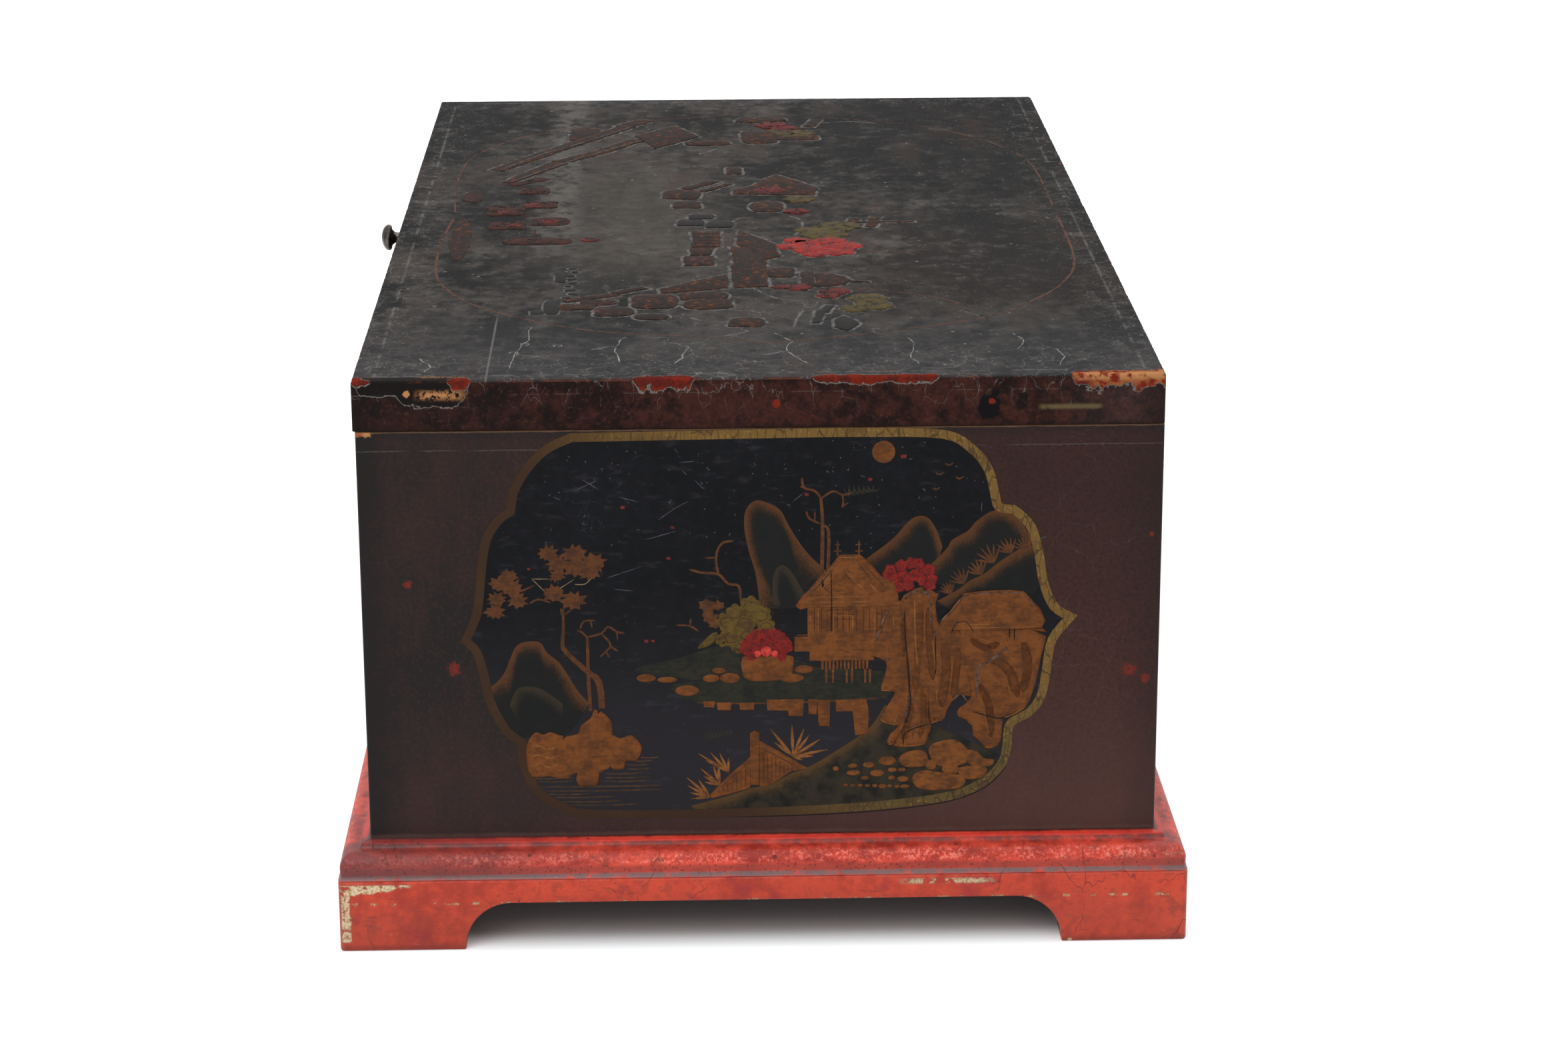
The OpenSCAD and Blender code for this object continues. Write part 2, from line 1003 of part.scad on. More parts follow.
front_board();
back_board();
left_end_board();
right_end_board();
bottom_board();
bottom_nails();
front_apron();
back_apron();
left_apron();
right_apron();
front_moulding();
back_moulding();
left_moulding();
right_moulding();
moulding_pins();
corner_blocks();
rub_blocks();
lid_top_board();
lid_front_rim();
lid_back_rim();
lid_left_rim();
lid_right_rim();
lid_nails();
lid_knob();
left_lower_leaf();
right_lower_leaf();
left_upper_leaf();
right_upper_leaf();
left_hinge_pin();
right_hinge_pin();
lower_leaf_screws();
upper_leaf_screws();
lock_plate();
lock_selvedge();
lock_case();
lock_cap();
lock_studs();
drill_pin();
lock_ward();
lock_screws();
lock_bolt();
back_spring();
link_plate();
link_plate_screws();
escutcheon();
escutcheon_pins();
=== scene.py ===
"""A lacquered deed box on a red plinth: its lacquer, gilding and metalwork, and a plain studio."""

import json
import math
import random

import bmesh
import bpy
from mathutils import Matrix, Vector, noise


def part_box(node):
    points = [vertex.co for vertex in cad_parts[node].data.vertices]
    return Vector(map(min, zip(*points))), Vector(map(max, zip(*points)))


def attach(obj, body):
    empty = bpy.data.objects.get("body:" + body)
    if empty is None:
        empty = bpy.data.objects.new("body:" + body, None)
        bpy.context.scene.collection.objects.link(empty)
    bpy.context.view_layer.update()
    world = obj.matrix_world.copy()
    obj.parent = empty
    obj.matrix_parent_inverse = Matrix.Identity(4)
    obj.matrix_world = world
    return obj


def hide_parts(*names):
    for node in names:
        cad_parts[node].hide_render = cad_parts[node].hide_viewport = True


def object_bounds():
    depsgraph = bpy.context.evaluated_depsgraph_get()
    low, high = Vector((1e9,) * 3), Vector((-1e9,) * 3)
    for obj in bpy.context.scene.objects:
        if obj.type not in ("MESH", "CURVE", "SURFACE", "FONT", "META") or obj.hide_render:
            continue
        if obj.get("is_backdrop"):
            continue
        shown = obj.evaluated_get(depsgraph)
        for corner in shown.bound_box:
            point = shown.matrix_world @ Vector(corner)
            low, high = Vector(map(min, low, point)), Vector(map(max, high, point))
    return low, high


MM = 0.001

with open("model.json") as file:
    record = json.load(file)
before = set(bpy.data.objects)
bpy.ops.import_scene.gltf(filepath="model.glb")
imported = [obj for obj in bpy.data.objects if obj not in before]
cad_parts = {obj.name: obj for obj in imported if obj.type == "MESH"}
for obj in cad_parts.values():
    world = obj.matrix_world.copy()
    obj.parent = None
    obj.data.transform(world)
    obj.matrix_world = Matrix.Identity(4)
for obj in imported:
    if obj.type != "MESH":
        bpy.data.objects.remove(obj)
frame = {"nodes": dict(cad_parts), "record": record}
cad_low, cad_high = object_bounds()

# Places taken from the frame
top_low, top_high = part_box("lid_top_board")
rim_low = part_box("lid_right_rim")[0]
end_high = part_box("right_end_board")[1]
apron_low, apron_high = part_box("right_apron")
mould_low, mould_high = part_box("right_moulding")
escutcheon_low, escutcheon_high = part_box("escutcheon")
HALF_L = end_high.x
HALF_D = end_high.y
LEDGE_Z = mould_high.z
SEAM_Z = end_high.z
LID_Z = rim_low.z
JOINT_Z = top_low.z
TOP_Z = top_high.z

# The lacquer: its thickness over the boards, the lid's surface below the raised work, worn arrises
SKIN = 0.35 * MM
RELIEF_ROOM = 0.5 * MM
LID_FACE = TOP_Z - RELIEF_ROOM
CORNER_R = 1.1 * MM
ARRIS_R = 1.0 * MM

# A distance too small to see, and how near to the top and the sides the worn arris is
HAIR = 0.01 * MM
ARRIS_REACH = 1.2 * ARRIS_R
# Paint's thickness, and how near two points of a drawn piece are one, in a face's millimetres
PAINT = 0.03
ONE_POINT = 0.0005

# The camera, as solved from the corners of the box in the photograph
CAMERA_PLACE = (1.7661, -0.0291, 0.6329)
CAMERA_AZIMUTH = -1.504
CAMERA_ELEVATION = 17.12
CAMERA_ROLL = -0.22
CAMERA_LENS = 85.4
SENSOR = 36.0


# Work in object and edit mode


def only(*objects):
    """Selects these objects and nothing else, and makes the first one active."""
    bpy.ops.object.select_all(action="DESELECT")
    for obj in objects:
        obj.select_set(True)
    if objects:
        bpy.context.view_layer.objects.active = objects[0]


def named(name):
    """The object that an operator has just made, under a name of its own."""
    obj = bpy.context.active_object
    obj.name = name
    obj.data.name = name
    return obj


def joined(objects):
    """One object made of several."""
    only(*objects)
    if len(objects) > 1:
        bpy.ops.object.join()
    return objects[0]


def block(name, low, high):
    """A box from one corner to the other, with its place in its mesh."""
    low, high = Vector(low), Vector(high)
    only()
    bpy.ops.mesh.primitive_cube_add(size=1, location=(low + high) / 2)
    obj = named(name)
    obj.scale = high - low
    bpy.ops.object.transform_apply(location=True, rotation=True, scale=True)
    return obj


def pick(obj, kind, test):
    """Goes into edit mode with only those faces, edges or vertices selected that pass the test."""
    only(obj)
    bpy.ops.object.mode_set(mode="EDIT")
    bpy.ops.mesh.select_mode(type=kind)
    bpy.ops.mesh.select_all(action="DESELECT")
    mesh = bmesh.from_edit_mesh(obj.data)
    items = {"FACE": mesh.faces, "EDGE": mesh.edges, "VERT": mesh.verts}[kind]
    for item in items:
        if test(item):
            item.select_set(True)
    mesh.select_flush_mode()
    bmesh.update_edit_mesh(obj.data)


def leave():
    bpy.ops.object.mode_set(mode="OBJECT")


def bevelled(obj, test, width, segments):
    """Rounds the edges that pass the test."""
    pick(obj, "EDGE", test)
    bpy.ops.mesh.bevel(offset=width, segments=segments, affect="EDGES")
    leave()


def closed_up(obj, nearest):
    """Merges points that lie together and turns the faces outwards."""
    mesh = bmesh.new()
    mesh.from_mesh(obj.data)
    bmesh.ops.remove_doubles(mesh, verts=mesh.verts, dist=nearest)
    bmesh.ops.recalc_face_normals(mesh, faces=mesh.faces)
    mesh.to_mesh(obj.data)
    mesh.free()
    return obj


def finish_with(obj, kind, **settings):
    """Adds a modifier to the object and applies it."""
    modifier = obj.modifiers.new(kind.title(), kind)
    for key, value in settings.items():
        setattr(modifier, key, value)
    only(obj)
    bpy.ops.object.modifier_apply(modifier=modifier.name)


def cut(obj, *cutters):
    """Takes the cutters out of the object and removes them."""
    for cutter in cutters:
        finish_with(obj, "BOOLEAN", operation="DIFFERENCE", solver="EXACT", object=cutter)
        bpy.data.objects.remove(cutter)


def smooth(obj, degrees=35):
    obj.data.shade_smooth()
    obj.data.set_sharp_from_angle(angle=math.radians(degrees))
    return obj


def along(edge, axis):
    """True for an edge that runs along one axis."""
    way = edge.verts[1].co - edge.verts[0].co
    return abs(way[axis]) > 0.99 * way.length


def loft(name, rings):
    """A closed shape through rings of points, from the first ring back round to it."""
    count = len(rings[0])
    only()
    bpy.ops.mesh.primitive_circle_add(vertices=count, radius=1)
    obj = named(name)
    for vert, point in zip(obj.data.vertices, rings[0]):
        vert.co = point
    bpy.ops.object.mode_set(mode="EDIT")
    bpy.ops.mesh.select_all(action="SELECT")
    for last, ring in zip(rings, rings[1:]):
        bpy.ops.mesh.extrude_edges_move()
        mesh = bmesh.from_edit_mesh(obj.data)
        order = {tuple(round(c, 6) for c in point): i for i, point in enumerate(last)}
        for vert in mesh.verts:
            if vert.select:
                vert.co = ring[order[tuple(round(c, 6) for c in vert.co)]]
        bmesh.update_edit_mesh(obj.data)
    leave()
    return closed_up(obj, HAIR)


# Lines and outlines, in the millimetres of the face that they are drawn on


def arc(centre, radii, start, end, steps):
    """Points along part of an ellipse, from one angle to another."""
    points = []
    for step in range(steps + 1):
        turn = math.radians(start + (end - start) * step / steps)
        points.append((centre[0] + radii[0] * math.cos(turn),
            centre[1] + radii[1] * math.sin(turn)))
    return points


def disc(across, up, radius, steps=14):
    return arc((across, up), (radius, radius), 0, 360, steps)[:-1]


def flowing(points, closed=False, steps=4):
    """A smooth line through given points, which may carry a width as a third number."""
    count = len(points)
    line = []
    for i in range(count if closed else count - 1):
        near = [points[k % count] if closed else points[min(max(k, 0), count - 1)]
                for k in range(i - 1, i + 3)]
        for step in range(steps):
            t = step / steps
            line.append(tuple((2 * b + (c - a) * t + (2 * a - 5 * b + 4 * c - d) * t * t
                + (3 * b - a - 3 * c + d) * t ** 3) / 2 for a, b, c, d in zip(*near)))
    if not closed:
        line.append(points[-1])
    return line


def outset(outline, distance):
    """A closed outline moved outwards by a distance."""
    count = len(outline)
    area = sum(outline[i - 1][0] * outline[i][1] - outline[i][0] * outline[i - 1][1] for i
        in range(count))
    side = distance if area > 0 else -distance
    moved = []
    for i in range(count):
        before, here, after = (Vector(outline[k % count]) for k in (i - 1, i, i + 1))
        first, last = (here - before).normalized(), (after - here).normalized()
        way = (first + last).normalized()
        reach = side / max(0.6, way.dot(first))
        moved.append((here.x + way.y * reach, here.y - way.x * reach))
    return moved


def part_way(line, share):
    """The point at a share of a line's points."""
    place = share * (len(line) - 1)
    first = min(int(place), len(line) - 2)
    return Vector(line[first]).lerp(Vector(line[first + 1]), place - first)


def oval(bounds, end, steps):
    """A stone within its bounds, its last side cut straight."""
    left, right, low, high = bounds
    return arc(((left + right) / 2, (low + high) / 2), ((right - left) / 2, (high - low) / 2), 0,
        end, steps)


def ragged(across, up, radius, seed, squash=0.8, spikes=9):
    """A ragged blot, as foliage is dabbed on with a brush."""
    chance = random.Random(seed)
    outline = []
    for step in range(2 * spikes):
        turn = math.pi * step / spikes + chance.uniform(-0.12, 0.12)
        reach = radius * (chance.uniform(0.95, 1.25) if step % 2 else chance.uniform(0.6, 0.85))
        outline.append((across + reach * math.cos(turn), up + squash * reach * math.sin(turn)))
    return outline


def lobed(across, up, radius, lobes, turn=0.0):
    """A blossom's scalloped outline."""
    outline = []
    for step in range(lobes * 6):
        angle = math.tau * step / (lobes * 6)
        reach = radius * (0.82 + 0.22 * abs(math.sin(angle * lobes / 2)))
        outline.append((across + reach * math.cos(angle + turn),
            up + reach * math.sin(angle + turn)))
    return outline


def from_curve(lines, closed, **settings):
    """A mesh made from a curve through lists of points on the plane z = 0."""
    only()
    bpy.ops.curve.primitive_bezier_circle_add()
    obj = bpy.context.active_object
    curve = obj.data
    curve.splines.clear()
    for key, value in settings.items():
        setattr(curve, key, value)
    for line in lines:
        spline = curve.splines.new("POLY")
        spline.points.add(len(line) - 1)
        spline.use_cyclic_u = closed
        for point, (across, up, *width) in zip(spline.points, line):
            point.co = (across, up, 0, 1)
            point.radius = width[0] if width else 1
    bpy.ops.object.convert(target="MESH")
    return closed_up(bpy.context.active_object, ONE_POINT)


def painted(outlines, thick=PAINT):
    """Flat shapes as thick as paint. An outline inside another is a hole in it."""
    obj = from_curve(outlines, True, dimensions="2D", fill_mode="BOTH", extrude=thick / 2)
    for vert in obj.data.vertices:
        vert.co.z += thick / 2
    return obj


def raised(outlines, height=0.4, slope=0.8):
    """Pillowed shapes built up under the gilding, which may overlap."""
    shapes = []
    for i, outline in enumerate(outlines):
        obj = from_curve([outline], True, dimensions="2D", fill_mode="BOTH",
                         bevel_depth=slope, bevel_resolution=2, offset=-slope)
        lift = height / slope * (1 - 0.05 * (i % 4))
        for vert in obj.data.vertices:
            vert.co.z *= lift if vert.co.z > 0 else 0.1
        shapes.append(smooth(obj, 50))
    return joined(shapes)


def strokes(lines, height=0.2):
    """Brush strokes with rounded backs: points with a width each, height as a share of the width."""
    obj = from_curve(lines, False, dimensions="3D", fill_mode="FULL", bevel_depth=0.5,
                     bevel_resolution=1, use_fill_caps=True)
    for vert in obj.data.vertices:
        vert.co.z *= height if vert.co.z > 0 else 0.05
    return smooth(obj, 70)


def evenly(points, width):
    """A line of one width, thinned at both ends."""
    line = flowing([(*point, width) for point in points], steps=3)
    line[0] = (*line[0][:2], width * 0.4)
    line[-1] = (*line[-1][:2], width * 0.3)
    return line


def drawn(lines, width, back=0.2):
    """Brush strokes of one width, thinned at both ends."""
    return strokes([evenly(line, width) for line in lines], back)


def leaves(base, tips, width):
    """Pointed leaves from one base to their tips."""
    lines = []
    for tip in tips:
        middle = Vector(base).lerp(Vector(tip), 0.5)
        lines.append(flowing([(*base, width * 0.3), (*middle, width), (*tip, width * 0.15)],
            steps=3))
    return lines


def curtain(crest, foot, rows=12):
    """A thin sheet from a crest down to a foot. Its UV rises by 0.01 a millimetre from the crest."""
    crest, foot = flowing(crest), flowing(foot)
    only()
    bpy.ops.mesh.primitive_grid_add(x_subdivisions=len(crest) - 1, y_subdivisions=rows, size=2)
    obj = bpy.context.active_object
    depths = {}
    for vert in obj.data.vertices:
        share, down = (vert.co.x + 1) / 2, (1 - vert.co.y) / 2
        top, low = part_way(crest, share), part_way(foot, share)
        way = part_way(crest, min(share + 0.04, 1)) - part_way(crest, max(share - 0.04, 0))
        vert.co = (*top.lerp(low, down ** 1.5), 0)
        apart = vert.co.xy - top
        depths[vert.index] = abs(way.normalized().cross(apart))
    layer = obj.data.uv_layers[0].data
    for loop in obj.data.loops:
        layer[loop.index].uv = (0.5, depths[loop.vertex_index] * 0.01)
    closed_up(obj, ONE_POINT)
    finish_with(obj, "SOLIDIFY", thickness=PAINT, offset=1)
    return obj


class Face:
    """A flat face to decorate. Places on it are in millimetres across and up from its middle."""

    def __init__(self, name, body, middle, across, up):
        across, up = Vector(across), Vector(up)
        turn = Matrix((across, up, across.cross(up))).transposed().to_4x4()
        self.name = name
        self.body = body
        self.matrix = Matrix.Translation(middle) @ turn @ Matrix.Scale(MM, 4)

    def part(self, name, across, up, flip=False):
        """A face within this one, on which a motif is drawn at another place or the other way round."""
        inner = Face(f"{self.name}_{name}", self.body, (0, 0, 0), (1, 0, 0), (0, 1, 0))
        shift = Matrix.Translation((across, up, 0))
        inner.matrix = self.matrix @ shift @ Matrix.Diagonal((-1 if flip else 1, 1, 1, 1))
        return inner

    def lay(self, obj, name, height, colour):
        """Puts a piece drawn in the face's millimetres on it, at a height above the lacquer."""
        finish = colours[colour]
        obj.name = obj.data.name = f"{self.name}_{name}"
        obj.data.transform(self.matrix @ Matrix.Translation((0, 0, height)))
        if self.matrix.determinant() < 0:
            obj.data.flip_normals()
        finish.on(obj)
        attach(obj, self.body)


# Materials


class Wire:
    """A value in a material. Arithmetic on it adds Math nodes."""

    def __init__(self, finish, socket):
        self.finish = finish
        self.socket = socket

    def math(self, operation, *others):
        return self.finish.add("Math", {"operation": operation}, self, *others)

    def __add__(self, other):
        return self.math("ADD", other)

    def __sub__(self, other):
        return self.math("SUBTRACT", other)

    def __mul__(self, other):
        return self.math("MULTIPLY", other)

    def __rsub__(self, other):
        return self * -1 + other

    __radd__ = __add__
    __rmul__ = __mul__

    def size(self):
        return self.math("ABSOLUTE")

    def most(self, other):
        return self.math("MAXIMUM", other)

    def least(self, other):
        return self.math("MINIMUM", other)

    def rise(self, start, end):
        """0 before start and 1 after end, with a soft step between, in whichever order they are."""
        if start > end:
            return 1 - self.rise(end, start)
        settings = {"interpolation_type": "SMOOTHSTEP"}
        return self.finish.add("MapRange", settings, self, start, end, 0.0, 1.0)

    def within(self, start, end, soft):
        """1 from start to end, and 0 outside them."""
        return self.rise(start - soft, start + soft) * self.rise(end + soft, end - soft)

    def rise_mm(self, start, end):
        """rise on a length, in millimetres."""
        return self.rise(start * MM, end * MM)

    def within_mm(self, start, end, soft):
        """within on a length, in millimetres."""
        return self.within(start * MM, end * MM, soft * MM)

    def shaken(self, noise, reach):
        """A length that a noise moves to and fro over a reach in millimetres."""
        return self + (noise - 0.5) * (reach * MM)


class Finish:
    """A Principled material on Object coordinates, with its patterns. Their sizes are in millimetres."""

    def __init__(self, name, slot, roughness=0.5, metallic=0.0, **fixed):
        self.material = bpy.data.materials.new(name)
        self.material.use_nodes = True
        self.name = name
        self.slot = slot
        self.tree = self.material.node_tree
        self.shader = self.tree.nodes["Principled BSDF"]
        self.put("Roughness", roughness)
        self.put("Metallic", metallic)
        for key, value in fixed.items():
            self.put(key.replace("_", " ").title().replace("Ior", "IOR"), value)
        self.place = self.add("TexCoord", {}, out="Object")
        parts = self.add("SeparateXYZ", {}, self.place, out=None)
        self.x, self.y, self.z = (Wire(self, socket) for socket in parts.outputs)

    def add(self, kind, settings, *values, out=0, **sockets):
        """Adds a node: its settings first, then the values or links of its sockets."""
        node = self.tree.nodes.new("ShaderNode" + kind)
        for key, value in settings.items():
            setattr(node, key, value)
        for key, value in [*enumerate(values), *sockets.items()]:
            self.feed(node.inputs[key], value)
        return node if out is None else Wire(self, node.outputs[out])

    def feed(self, socket, value):
        if isinstance(value, Wire):
            self.tree.links.new(value.socket, socket)
        elif value is not None:
            socket.default_value = value

    def put(self, socket, value):
        self.feed(self.shader.inputs[socket], value)

    def mix(self, factor, first, second):
        """A colour between two, each a link, a linear colour, or three 8-bit numbers."""
        node = self.add("Mix", {"data_type": "RGBA"}, factor, out=None)
        for socket, colour in ((6, first), (7, second)):
            plain = isinstance(colour, tuple) and len(colour) == 3
            self.feed(node.inputs[socket], paint(*colour) if plain else colour)
        return Wire(self, node.outputs[2])

    def layers(self, ground, *coats):
        """Lays coats of (mask, colour) on a ground colour, one after another."""
        for mask, colour in coats:
            ground = self.mix(mask, ground, colour)
        return ground

    def stretched(self, x=1.0, y=1.0, z=1.0, at=(0.0, 0.0, 0.0)):
        """Object coordinates moved and stretched, for grain and brush marks."""
        return self.add("Mapping", {}, self.place, at, (0.0, 0.0, 0.0), (x, y, z))

    def noise(self, size, detail=2.0, rough=0.5, distortion=0.0, on=None):
        """Clouds about size across, from 0 to 1."""
        node = self.add("TexNoise", {}, on or self.place, out=None)
        for key, value in zip(("Scale", "Detail", "Roughness", "Distortion"),
                              (1 / (size * MM), detail, rough, distortion)):
            node.inputs[key].default_value = value
        return Wire(self, node.outputs[0])

    def cracks(self, size, width, wander=0.4, on=None):
        """Craquelure: 1 on the lines between cells about size across, which wander a little."""
        size, width = size * MM, width * MM
        bend = self.add("TexNoise", {}, on or self.place, out="Color", Scale=1.5 / size, Detail=3.0)
        shift = self.add("VectorMath", {"operation": "SCALE"}, bend, Scale=wander * size)
        moved = self.add("VectorMath", {}, on or self.place, shift)
        settings = {"feature": "DISTANCE_TO_EDGE"}
        edge = self.add("TexVoronoi", settings, moved, Scale=1 / size)
        return edge.rise(width / size, 0)

    def flecks(self, size, share, spread=0.35, on=None):
        """Small specks in some of the cells of a size: 1 inside a speck."""
        node = self.add("TexVoronoi", {}, on or self.place, out=None, Scale=1 / (size * MM))
        chosen = self.add("SeparateColor", {}, Wire(self, node.outputs["Color"]))
        near = Wire(self, node.outputs["Distance"])
        return (near + (chosen.rise(share, share + 0.02))).rise(spread, spread * 0.5)

    def spot(self, place, radius, ragged=None):
        """1 within a radius of a place, with an edge that the ragged value moves in and out."""
        away = self.add("VectorMath", {"operation": "DISTANCE"}, self.place, place, out="Value")
        if ragged is not None:
            away = away + (ragged - 0.5) * (1.6 * radius)
        return away.rise(radius * 1.08, radius * 0.92)

    def bump(self, height, strength, distance):
        bump = self.add("Bump", {}, Strength=strength, Distance=distance * MM, Height=height)
        self.put("Normal", bump)

    def on(self, obj):
        obj.data.materials.clear()
        obj.data.materials.append(self.material)
        return obj


def paint(red, green, blue):
    """A colour given as 8-bit sRGB, made linear."""
    def linear(value):
        value /= 255
        return value / 12.92 if value <= 0.04045 else ((value + 0.055) / 1.055) ** 2.4
    return linear(red), linear(green), linear(blue), 1.0


def by_name(*finishes):
    return {finish.name: finish for finish in finishes}


# The colours that show where lacquer is lost, dirt, and painted shade
BOLE = (118, 38, 26)
BOLE_DARK = (92, 34, 27)
TAN_WOOD = (182, 127, 83)
DUST = (126, 122, 118)
SOOT_AND_SHADE = (22, 19, 19)


def brown_lacquer():
    """Dark red-brown lacquer, near black at the corners, with dust, cracks and a few red chips; painted
    shade under the lid, and a top arris pale with wear and painted highlight.
    """
    f = Finish("brown_lacquer", "brown_lacquer", specular_ior_level=0.13)
    cloud = f.noise(55, 3, 0.55)
    mottle = f.noise(9, 5, 0.65)
    brushed = f.noise(7, 4, 0.6, on=f.stretched(1, 1, 0.25))
    fine = f.noise(1.6, 4, 0.6)
    corner = (HALF_L - f.x.size()).most(HALF_D - f.y.size())
    tone = cloud * 0.5 + mottle * 0.2 + brushed * 0.3
    low = (f.z - LEDGE_Z).rise_mm(90, 0)
    right = f.y.rise_mm(-150, 150)
    colour = f.layers(
        f.mix(tone.rise(0.38, 0.6), (22, 17, 17), (54, 30, 27)),
        (right * 0.5, (70, 40, 34)),
        (fine.rise(0.5, 0.66) * 0.35, (74, 46, 40)),
        (fine.rise(0.5, 0.36) * 0.4, (22, 17, 17)),
        (low * (right * 0.35 + 0.2), (92, 60, 54)),
        ((1 - right) * 0.4, (31, 28, 28)),
        (f.z.rise_mm(120, 200) * right * 0.4, (30, 19, 18)),
        (corner.shaken(mottle, 14).rise_mm(20, 0) * (0.8 - right * 0.45), SOOT_AND_SHADE),
        # Painted shade: a near black band under the lid's edge, in the last 5 mm below the seam.
        (f.z.shaken(mottle, 3).rise(SEAM_Z - 5 * MM, SEAM_Z - 1 * MM) * 0.45, SOOT_AND_SHADE))
    veil = f.flecks(2.2, 0.2, 0.24) * mottle.rise(0.42, 0.6) * 0.5
    hair = f.cracks(16, 0.12, 0.8) * cloud.rise(0.55, 0.66) * 0.16
    seam_line = f.z.shaken(fine, 1.2).within_mm(214.9, 215.1, 0.22)
    seam_line = seam_line * cloud.rise(0.47, 0.55) * 0.45
    dust = veil.most(hair).most(seam_line)
    # A pale line along the top arris: partly worn lacquer, partly painted highlight.
    arris = f.z.shaken(mottle, 1.1).rise(SEAM_Z - 0.55 * MM, SEAM_Z - 0.2 * MM)
    foot = f.z.shaken(mottle, 3).rise(LEDGE_Z + 2.2 * MM, LEDGE_Z + 0.2 * MM)
    chips = f.flecks(31, 0.1, 0.06)
    for place, radius in (((305, -128, 121), 2.6), ((305, -146, 158), 1.6), ((305, 153, 117), 2.8),
            ((305, 160, 113), 2.0), ((305, -101, 84), 1.2), ((305, 161, 176), 1.0)):
        chips = chips.most(f.spot([c * MM for c in place], radius * MM, fine * 2.4 - 0.7))
    nick_low = f.z.shaken(fine, 2).rise(SEAM_Z - 2.2 * MM, SEAM_Z - 1.4 * MM)
    corner_nick = nick_low * f.y.shaken(fine, 4).rise_mm(-158, -160) * f.x.rise_mm(303, 304)
    colour = f.layers(colour, (dust, DUST), (arris * 0.55, (120, 92, 74)), (foot * 0.5,
        (96, 74, 68)),
        (chips, BOLE_DARK), (chips * fine.rise(0.45, 0.55), BOLE), (corner_nick,
            f.mix(mottle.rise(0.4, 0.6), (150, 84, 54), TAN_WOOD)))
    f.put("Base Color", colour)
    f.put("Roughness", mottle * 0.25 + 0.28 + dust * 0.3 + corner_nick * 0.4)
    f.bump(brushed * 0.5 + fine * 0.3 - hair - chips - corner_nick * 2, 0.35, 0.25)
    return f


